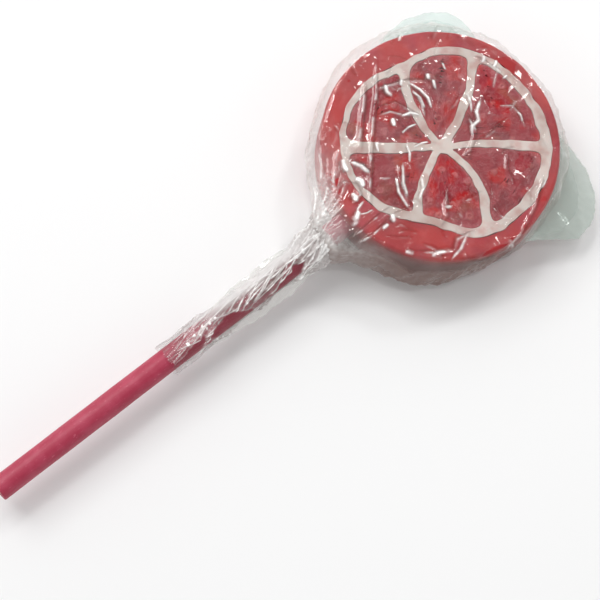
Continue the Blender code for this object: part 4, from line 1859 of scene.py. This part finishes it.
@dataclass
class Twist(SubAssembly):
    """The tail of the film, wrung round the stick.

    Attributes:
        back_turn: Turn in degrees from a window to its copy behind.
        back_shift: How far down the copy lies.
        guide: Radius of the tube on which the waves are read.
        pale_end: Place along Y from which the underside grows pale and smooth.
        thin_end: Place along Y from which the film grows denser.
        crowd: Middle and spread in degrees of the side where half of the pleats lie.
    """

    windows: tuple[Window, ...] = SHOWN_WINDOWS
    # Broad pleats, each with a painted highlight (glare).
    glare_pleats: tuple[Strand, ...] = (
        Strand(1.58, -61.4, 3.6, 0.17, 0.3, 0.02),
        Strand(1.46, -66.2, 2.6, 0.13, 0.3, 0.03),
        Strand(1.4, -49.4, 2.2, 0.09, 0.3, 0.12),
        Strand(1.6, -37.0, 1.8, 0.12, 0.3, 0.05),
        Strand(1.2, -31.6, 1.8, 0.12, 0.3, 0.1),
    )
    start: float = -29.0
    sides: int = 232
    rows: int = 400
    back_turn: float = 180.0
    back_shift: float = 4.0
    bulk: float = 0.75
    guide: float = 4.0
    knot_radius: float = 4.5
    knot_end: float = 10.5
    knot_span: float = 5.5
    snug: float = 0.22
    least_gap: float = 0.08
    pale_end: float = -66.0
    thin_end: float = -72.0
    strand_count: int = 170
    strand_lean: float = 0.07
    strand_seed: int = 61
    crowd: Pair = (92, 26)
    strand_span: Pair = (-74, -30)
    strand_reaches: Pair = (1.6, 6.5)
    strand_widths: Pair = (0.035, 0.075)
    strand_heights: Pair = (0.1, 0.42)
    crumple: Ripple = Ripple(31, 0.5, 1.0, 3.6, 24, True)
    sway: Ripple = Ripple(33, 0.5, 3.0, 9.0, 14)
    sway_turn: float = 0.12

    def build(self) -> None:
        """Make the twisted tube."""
        mesh_data = bmesh.new()
        bmesh.ops.create_grid(mesh_data, x_segments=self.sides, y_segments=self.rows, size=1)
        move_points(mesh_data, self._shape)
        finish = FilmFinish("twisted film", dim=linear(196, 193, 192)).make()
        self.piece("film_twist", mesh_data, finish, Slot.FILM, [], sharp=180, layers=self._layers)

    def _strands(self) -> list[Strand]:
        """Draw pleats that wind slowly, closer together by the windows' edges.

        Returns:
            The pleats.
        """
        draw = np.random.default_rng(self.strand_seed)
        made = []
        while len(made) < self.strand_count:
            if draw.uniform() < 0.5:
                turn = math.radians(draw.normal(*self.crowd))
            else:
                turn = draw.uniform(0, 2 * math.pi)
            made.append(Strand(
                turn, draw.uniform(*self.strand_span), draw.uniform(*self.strand_reaches),
                draw.uniform(*self.strand_widths), draw.uniform(*self.strand_heights),
                self.strand_lean + draw.normal() * 0.06,
            ))
        return made

    def _glare(self, y: Array, turn: Array) -> Array:
        """Broad pleats that carry a painted highlight (glare).

        Args:
            y: Places along Y.
            turn: Angles round the stick in radians.

        Returns:
            How much of a broad pleat, and so of its painted highlight, there is, from 0 to 1.
        """
        bright = np.zeros(len(y))
        for strand in self.glare_pleats:
            bright = np.maximum(bright, strand.at(turn, y))
        return bright

    def _pleats(self, y: Array, turn: Array) -> tuple[Array, Array, Array]:
        """Narrow pleats, of which every third goes inwards.

        Args:
            y: Places along Y.
            turn: Angles round the stick in radians.

        Returns:
            Their relief in millimetres, how near their crests are, which get a painted highlight,
            and their valleys, which get painted shade.
        """
        relief = np.zeros(len(y))
        crest = np.zeros(len(y))
        valley = np.zeros(len(y))
        for index, strand in enumerate(self._strands()):
            shape = strand.at(turn, y)
            if index % 3 == 0:
                relief = relief - 0.5 * strand.height * shape
                valley = np.maximum(valley, shape ** 2)
            else:
                relief = np.maximum(relief, strand.height * shape)
                crest = np.maximum(crest, shape ** 2 * min(1.0, strand.height / 0.3))
        return relief, crest, valley

    def _round(self, y: Array, turn: Array) -> Array:
        """Rows of x, y, z on the tube on which the waves are read."""
        return np.column_stack((
            self.guide * np.cos(turn), y, MID_HEIGHT + self.guide * np.sin(turn)
        ))

    def _parts(self, y: Array, turn: Array) -> tuple[Array, Array, Array]:
        """What a place of the twist is part of.

        Args:
            y: Places along Y.
            turn: Angles round the stick in radians.

        Returns:
            How much of a place is knot, how deep it lies in a window in millimetres, and its
            share of smooth pale film.
        """
        knot = smooth_step((y - self.start + self.knot_end) / self.knot_span)
        degrees = np.degrees(turn)
        degrees = (degrees + 180) % 360 - 180
        behind = (degrees + self.back_turn + 180) % 360 - 180
        depth = np.full(len(y), -9.0)
        for window in self.windows:
            depth = np.maximum(depth, window.depth(y, degrees))
            depth = np.maximum(depth, window.depth(y + self.back_shift, behind))
        ragged = np.column_stack((self.guide * np.cos(turn), 2 * y, self.guide * np.sin(turn)))
        depth = depth + 0.5 * self.sway.at(ragged)
        pale = smooth_step((0.1 - np.cos(turn)) / 0.7) * smooth_step((y - self.pale_end) / 10)
        return knot, depth, pale

    def _shape(self, grid: Array) -> Array:
        """Places on the tube of points on the flat grid.

        Args:
            grid: Rows of x, y, z on the grid.

        Returns:
            The rows on the tube.
        """
        turn = (grid[:, 0] + 1) * math.pi
        share = (1 - grid[:, 1]) / 2
        y = self.start + (TAIL_END - self.start) * share
        knot, depth, pale = self._parts(y, turn)
        thick = 1 - smooth_step(0.5 + depth / 0.8)
        smooth = self._round(y, turn)
        sway = self.sway.at(smooth)
        crumple = self.crumple.at(smooth)
        relief, _, _ = self._pleats(y, turn + self.sway_turn * sway)
        hem = np.exp(-(((depth + 0.4) / 0.3) ** 2))
        tail = smooth_step((share - 0.95) / 0.05)
        radius = STICK_RADIUS + self.snug + (self.knot_radius - STICK_RADIUS - self.snug) * knot
        radius = radius + self.bulk * thick * (1 - knot) * (0.45 + 0.35 * share + 0.6 * sway)
        even = 1 - 0.7 * pale * (1 - knot)
        radius = radius + 0.3 * hem + relief * (0.12 + 0.88 * thick) * even
        radius = radius + 0.25 * self._glare(y, turn)
        radius = radius + crumple * (0.02 + 0.2 * thick + 0.3 * knot) * even
        radius = radius + tail * (0.1 + 0.3 * sway)
        closing = smooth_step((0.04 - share) / 0.04)
        radius = np.maximum(radius, STICK_RADIUS + self.least_gap) * (1 - 0.65 * closing)
        y = y + tail * 0.8 * self.crumple.at(smooth * (1.0, 0.0, 1.0))
        return np.column_stack((radius * np.cos(turn), y, MID_HEIGHT + radius * np.sin(turn)))

    def _layers(self, points: Array) -> dict[str, Array]:
        """Thickening of the twisted film, with painted highlights and painted shade.

        Args:
            points: Rows of x, y, z in millimetres.

        Returns:
            The values that the finish reads, by name.
        """
        turn = np.arctan2(points[:, 2] - MID_HEIGHT, points[:, 0])
        y = points[:, 1]
        knot, depth, pale = self._parts(y, turn)
        thick = 1 - smooth_step(0.5 + depth / 0.5)
        smooth = self._round(y, turn)
        sway = self.sway.at(smooth)
        crumple = smooth_step(0.5 + 1.3 * self.crumple.at(smooth))
        _, crest, valley = self._pleats(y, turn + self.sway_turn * sway)
        # The hem round each window gets a painted highlight line.
        hem = np.exp(-(((depth + 0.25) / 0.16) ** 2))
        calm = pale * (1 - knot)
        dense = thick * (0.35 + 0.65 * smooth_step((y - self.thin_end) / 20))
        # glare is a painted highlight on the broad pleats.
        glare = smooth_step(2.2 * self._glare(y, turn) * (0.1 + 1.2 * crumple))
        # Painted shade: heavier in pleat valleys and on smoother dense film.
        painted_shade = dense * (1 - 0.9 * calm) * (0.6 * valley + 0.24 * (1 - crumple))
        # The windows get a light painted shade over the stick.
        return {
            "haze": dense * (0.03 + 0.2 * crumple + 0.75 * crest) * (1 - 0.85 * calm)
            + 0.75 * hem * (0.15 + 0.85 * crumple) + 0.95 * glare,
            "dull": dense * (0.05 + 0.85 * calm + 0.5 * knot),
            "shade": painted_shade + 0.18 * (1 - thick),
        }


def film_sheet(steps: int, rows: int, wall: float, shape: Callable[[Array], Array]) -> BMesh:
    """Sheet of film, bent from a flat grid.

    Args:
        steps: Cells along X.
        rows: Cells along Y.
        wall: Thickness of the film.
        shape: Gives the sheet's rows of x, y, z for the grid's, which run from -1 to 1.

    Returns:
        The sheet.
    """
    mesh_data = bmesh.new()
    bmesh.ops.create_grid(mesh_data, x_segments=steps, y_segments=rows, size=1)
    move_points(mesh_data, shape)
    bmesh.ops.solidify(mesh_data, geom=list(mesh_data.faces), thickness=wall)
    return mesh_data


@dataclass(frozen=True)
class Corner:
    """A flat corner of the folded sheet that stands out past the rim.

    Attributes:
        outline: Pairs of an angle and the reach of its edge from the disc's centre.
        height: Height of its root over the floor.
        droop: How far its edge hangs down.
        cover: How much of what lies behind it hides.
    """

    outline: Knots
    height: float
    droop: float
    dim: Colour
    cover: float


PALE_GREEN = linear(186, 206, 200)
GREY_GREEN = linear(172, 182, 175)


@dataclass
class Corners(SubAssembly):
    """The wrapper's free corners.

    Attributes:
        root: Radius at which they start, under the pouch's edge.
        layer_gap: How far apart the waves of two corners are read.
    """

    corners: tuple[Corner, ...] = (
        Corner((
            (6, 26.0), (11, 27.4), (16, 30.4), (21, 34.4), (27, 35.4), (33, 35.5), (40, 34.2),
            (48, 32.0), (57, 29.0), (64, 27.0),
        ), 7.0, 1.6, GREY_GREEN, 0.5),
        Corner((
            (8, 25.6), (14, 28.2), (20, 30.6), (30, 31.6), (38, 30.4), (46, 28.6), (56, 26.6),
        ), 8.0, 1.2, GREY_GREEN, 0.25),
        Corner((
            (118, 27.0), (124, 29.4), (130, 31.8), (136, 32.8), (144, 32.2), (152, 31.2),
            (160, 29.2), (166, 27.0),
        ), 6.6, 1.2, PALE_GREEN, 0.3),
        Corner((
            (126, 27.0), (132, 29.2), (140, 30.0), (148, 29.4), (156, 27.0),
        ), 7.8, 0.8, PALE_GREEN, 0.15),
    )
    rows: int = 60
    steps: int = 150
    root: float = 25.2
    wall: float = 0.05
    wrinkle: Ripple = Ripple(41, 0.09, 3.4, 10.0, 10, True)
    billow: Ripple = Ripple(43, 0.7, 9.0, 22.0, 10)
    layer_gap: float = 5.0

    def build(self) -> None:
        """Make each corner as a thin wrinkled sheet."""
        for index, corner in enumerate(self.corners):
            name = "corner film %d" % (index + 1)
            finish = FilmFinish(name, least_haze=0.01, dim=corner.dim)
            self._build_corner(index, corner, finish.make())

    def _build_corner(self, index: int, corner: Corner, finish: Material) -> None:
        """One corner.

        Args:
            index: Its number.
            corner: Its sizes.
            finish: Its material.
        """
        angles = np.array([row[0] for row in corner.outline], float)
        reaches = np.array([row[1] for row in corner.outline], float)

        def shape(grid: Array) -> Array:
            """Bend the grid to the corner.

            Args:
                grid: Rows of x, y, z on the grid.

            Returns:
                The rows on the corner.
            """
            share = (grid[:, 0] + 1) / 2
            out = (grid[:, 1] + 1) / 2
            angle = angles[0] + (angles[-1] - angles[0]) * share
            ragged = 0.1 * np.sin(angle * 0.7 + index) + 0.05 * np.sin(angle * 2.1 + 1)
            radius = self.root + (np.interp(angle, angles, reaches) + ragged - self.root) * out
            turn = np.radians(angle)
            layer = np.full(len(turn), self.layer_gap * index)
            flat = np.column_stack((radius * np.cos(turn), radius * np.sin(turn), layer))
            fade = smooth_step(out * 1.5)
            fold = 1 - 2 * np.abs(np.sin(turn * 15 + 0.5 * np.sin(radius * 0.6) + index))
            wave = 0.1 * fold * (1 - 0.8 * out) + self.wrinkle.at(flat) + self.billow.at(flat)
            height = corner.height - corner.droop * out ** 2 + wave * (0.3 + 0.7 * fade)
            return np.column_stack((flat[:, 0], flat[:, 1], height))

        def layers(points: Array) -> dict[str, Array]:
            """Thickening of the corner.

            Args:
                points: Rows of x, y, z in millimetres.

            Returns:
                The values that the finish reads, by name.
            """
            wrinkle = smooth_step(0.3 + 3 * self.wrinkle.at(points * (1.0, 1.0, 0.0)))
            out = smooth_step((np.hypot(points[:, 0], points[:, 1]) - self.root) / 1.5)
            return {
                "haze": 0.04 * wrinkle * out,
                "dull": corner.cover * (0.9 + 0.2 * wrinkle) * out,
                "shade": np.zeros(len(points)),
            }

        name = "film_corner_%d" % (index + 1)
        mesh_data = film_sheet(self.steps, self.rows, self.wall, shape)
        self.piece(name, mesh_data, finish, Slot.FILM, [], sharp=180, layers=layers)


@dataclass(frozen=True)
class Margin:
    """A loose edge of film that stands out from the twist.

    Attributes:
        side: -1 towards -X, 1 towards +X.
        start: Place along Y where it leaves the twist, nearer to the disc.
        end: Place where it comes back.
        reach: How far it stands out from the stick's surface.
        lift: How far its edge rises over the stick's axis.
    """

    side: int
    start: float
    end: float
    reach: float
    lift: float


@dataclass
class Margins(SubAssembly):
    """Loose translucent edges along the twist.

    Attributes:
        tuck: How far a margin starts inside the stick's outline.
    """

    margins: tuple[Margin, ...] = (
        Margin(-1, -31.5, -62.0, 1.5, 0.3),
        Margin(1, -31.0, -66.0, 2.1, -1.2),
    )
    rows: int = 40
    steps: int = 220
    wall: float = 0.05
    tuck: float = 0.6
    wrinkle: Ripple = Ripple(51, 0.08, 2.6, 8.0, 12, True)
    sway: Ripple = Ripple(53, 0.5, 6.0, 16.0, 10)

    def build(self) -> None:
        """Make each margin."""
        finish = FilmFinish("margin film", least_haze=0.01, dim=linear(212, 212, 208)).make()
        for index, margin in enumerate(self.margins):
            self._build_margin(index, margin, finish)

    def _build_margin(self, index: int, margin: Margin, finish: Material) -> None:
        """One margin.

        Args:
            index: Its number.
            margin: Its sizes.
            finish: Its material.
        """

        def shape(grid: Array) -> Array:
            """Bend the grid to the margin.

            Args:
                grid: Rows of x, y, z on the grid.

            Returns:
                The rows on the margin.
            """
            share = (grid[:, 0] + 1) / 2
            out = (grid[:, 1] + 1) / 2
            y = margin.start + (margin.end - margin.start) * share
            arch = np.sin(math.pi * share ** 0.85) ** 0.7
            ragged = 1 + 0.06 * np.sin(y * 0.7) + 0.04 * np.sin(y * 1.9 + 1)
            width = (STICK_RADIUS - self.tuck) + (margin.reach + self.tuck) * arch * ragged * out
            flat = np.column_stack((width, y, np.zeros(len(y))))
            wave = self.wrinkle.at(flat) + self.sway.at(flat) * out
            height = MID_HEIGHT + margin.lift * out + wave * (0.2 + 0.8 * out)
            return np.column_stack((margin.side * width, y, height))

        name = "film_margin_%d" % (index + 1)
        mesh_data = film_sheet(self.steps, self.rows, self.wall, shape)
        self.piece(name, mesh_data, finish, Slot.FILM, [], sharp=180, layers=self._layers)

    def _layers(self, points: Array) -> dict[str, Array]:
        """Thickening of a margin.

        Args:
            points: Rows of x, y, z in millimetres.

        Returns:
            The values that the finish reads, by name.
        """
        wrinkle = smooth_step(0.3 + 3 * self.wrinkle.at(np.abs(points) * (1.0, 1.0, 0.0)))
        none = np.zeros(len(points))
        return {"haze": 0.05 * wrinkle, "dull": 0.28 + 0.1 * wrinkle, "shade": none}


@dataclass(frozen=True)
class PhotoView:
    """The camera where the photograph was taken, in degrees and millimetres.

    Attributes:
        focal_pixels: Focal length in pixels of the picture.
        aim_pixels: Where the origin lies, in pixels right of and above the middle.
    """

    azimuth: float = 25.4016
    elevation: float = 69.7954
    roll: float = -25.7041
    distance: float = 449.426
    focal_pixels: float = 2112.305
    aim_pixels: Pair = (131.33, 135.19)
    sensor: float = 36.0
    clip: Pair = (0.01, 20.0)

    def build(self) -> bpy.types.Object:
        """Make the camera and hand it to the scene.

        Returns:
            The camera.
        """
        azimuth, elevation = math.radians(self.azimuth), math.radians(self.elevation)
        back = Vector((
            math.sin(azimuth) * math.cos(elevation),
            -math.cos(azimuth) * math.cos(elevation),
            math.sin(elevation),
        ))
        right = Vector((0, 0, 1)).cross(back).normalized()
        level = Matrix((right, back.cross(right), back))
        aim = Vector((self.aim_pixels[0], self.aim_pixels[1], -self.focal_pixels))
        swing = Vector((0, 0, -1)).rotation_difference(aim).to_matrix()
        axes = swing @ Matrix.Rotation(math.radians(self.roll), 3, "Z") @ level
        data = bpy.data.cameras.new("photo view")
        data.sensor_width = self.sensor
        data.lens = self.focal_pixels / PICTURE_SIDE * data.sensor_width
        data.clip_start, data.clip_end = self.clip
        camera = bpy.data.objects.new("photo view", data)
        bpy.context.scene.collection.objects.link(camera)
        place = Matrix.Translation(back * self.distance * MM)
        camera.matrix_world = place @ axes.transposed().to_4x4()
        bpy.context.scene.camera = camera
        return camera


@dataclass(frozen=True)
class Lamp:
    """A soft light.

    Attributes:
        distance: Its distance in metres.
        towards: Direction from the object to it.
        side: Side of its square face in metres.
        radiance: Brightness of its face.
    """

    name: str
    towards: Triple
    distance: float
    side: float
    radiance: float
    disc: bool = False

    def build(self) -> None:
        """Make the light."""
        data = bpy.data.lights.new(self.name, "AREA")
        data.shape = "DISK" if self.disc else "SQUARE"
        data.size = self.side
        area = self.side ** 2 * (math.pi / 4 if self.disc else 1)
        data.energy = self.radiance * math.pi * area
        item = bpy.data.objects.new(self.name, data)
        direction = Vector(self.towards).normalized()
        item.location = direction * self.distance
        item.rotation_mode = "QUATERNION"
        item.rotation_quaternion = direction.to_track_quat("Z", "Y")
        bpy.context.scene.collection.objects.link(item)


@dataclass
class Studio:
    """Pale floor, soft light and the photograph's view.

    Attributes:
        mirror: Direction of light that level film throws into the camera.
        glints: Name, slope of the film, side in metres and brightness of each small lamp.
        panel_fall: Share by which the brightness changes from side to side.
    """

    sky: float = 0.33
    key: Lamp = Lamp("key", (-0.61, -0.11, 0.79), 1.6, 0.9, 4.6)
    floor_side: float = 6.0
    mirror: Triple = (-0.148, 0.311, 0.938)
    glint_distance: float = 0.6
    glints: tuple[tuple[str, Pair, float, float], ...] = (
        ("glint north", (0.04, -0.19), 0.09, 26.0),
        ("glint west", (0.18, 0.06), 0.08, 22.0),
        ("glint east", (-0.16, 0.1), 0.07, 20.0),
    )
    panels: int = 6
    panel_rise: float = 0.36
    panel_distance: float = 1.2
    panel_side: float = 1.0
    panel_radiance: float = 0.55
    panel_fall: float = 0.4

    def _glint(self, name: str, slope: Pair, side: float, radiance: float) -> Lamp:
        """A small light that film of one slope throws into the camera.

        Args:
            name: Its name.
            slope: The film's slope along X and Y.
            side: Width of the light in metres.
            radiance: Its brightness.

        Returns:
            The light.
        """
        view = Vector((-self.mirror[0], -self.mirror[1], self.mirror[2])).normalized()
        normal = Vector((-slope[0], -slope[1], 1)).normalized()
        towards = 2 * normal.dot(view) * normal - view
        return Lamp(name, tuple(towards), self.glint_distance, side, radiance, disc=True)

    def _panels(self) -> list[Lamp]:
        """Dim upright panels all round, which steep film mirrors.

        Returns:
            The panels.
        """
        turns = (2 * math.pi * index / self.panels for index in range(self.panels))
        return [
            Lamp(
                "panel %d" % index, (math.cos(turn), math.sin(turn), self.panel_rise),
                self.panel_distance, self.panel_side,
                self.panel_radiance * (1 - self.panel_fall * math.cos(turn)),
            )
            for index, turn in enumerate(turns)
        ]

    def build(self) -> None:
        """Make the studio."""
        scene = bpy.context.scene
        world = bpy.data.worlds.new("soft sky")
        world.use_nodes = True
        background = world.node_tree.nodes["Background"]
        background.inputs["Color"].default_value = (1, 1, 1, 1)
        background.inputs["Strength"].default_value = self.sky
        scene.world = world
        scene.view_settings.view_transform = "Standard"
        lamps = (
            self.key,
            *(self._glint(*glint) for glint in self.glints),
            *self._panels(),
        )
        for lamp in lamps:
            lamp.build()
        PhotoView().build()
        self._floor()

    def _floor(self) -> None:
        """The floor under the object."""
        mesh_data = bmesh.new()
        bmesh.ops.create_grid(mesh_data, x_segments=2, y_segments=2, size=self.floor_side / 2)
        mesh = bpy.data.meshes.new("floor")
        mesh_data.to_mesh(mesh)
        mesh_data.free()
        mesh.materials.append(FloorFinish().make())
        item = bpy.data.objects.new("floor", mesh)
        bpy.context.scene.collection.objects.link(item)


def main() -> None:
    """Build the lollipop and its studio."""
    logging.basicConfig(level=logging.INFO, format="%(message)s")
    Candy().build()
    Stick().build()
    Pouch().build()
    Twist().build()
    Corners().build()
    Margins().build()
    Studio().build()


if __name__ == "__main__":
    main()
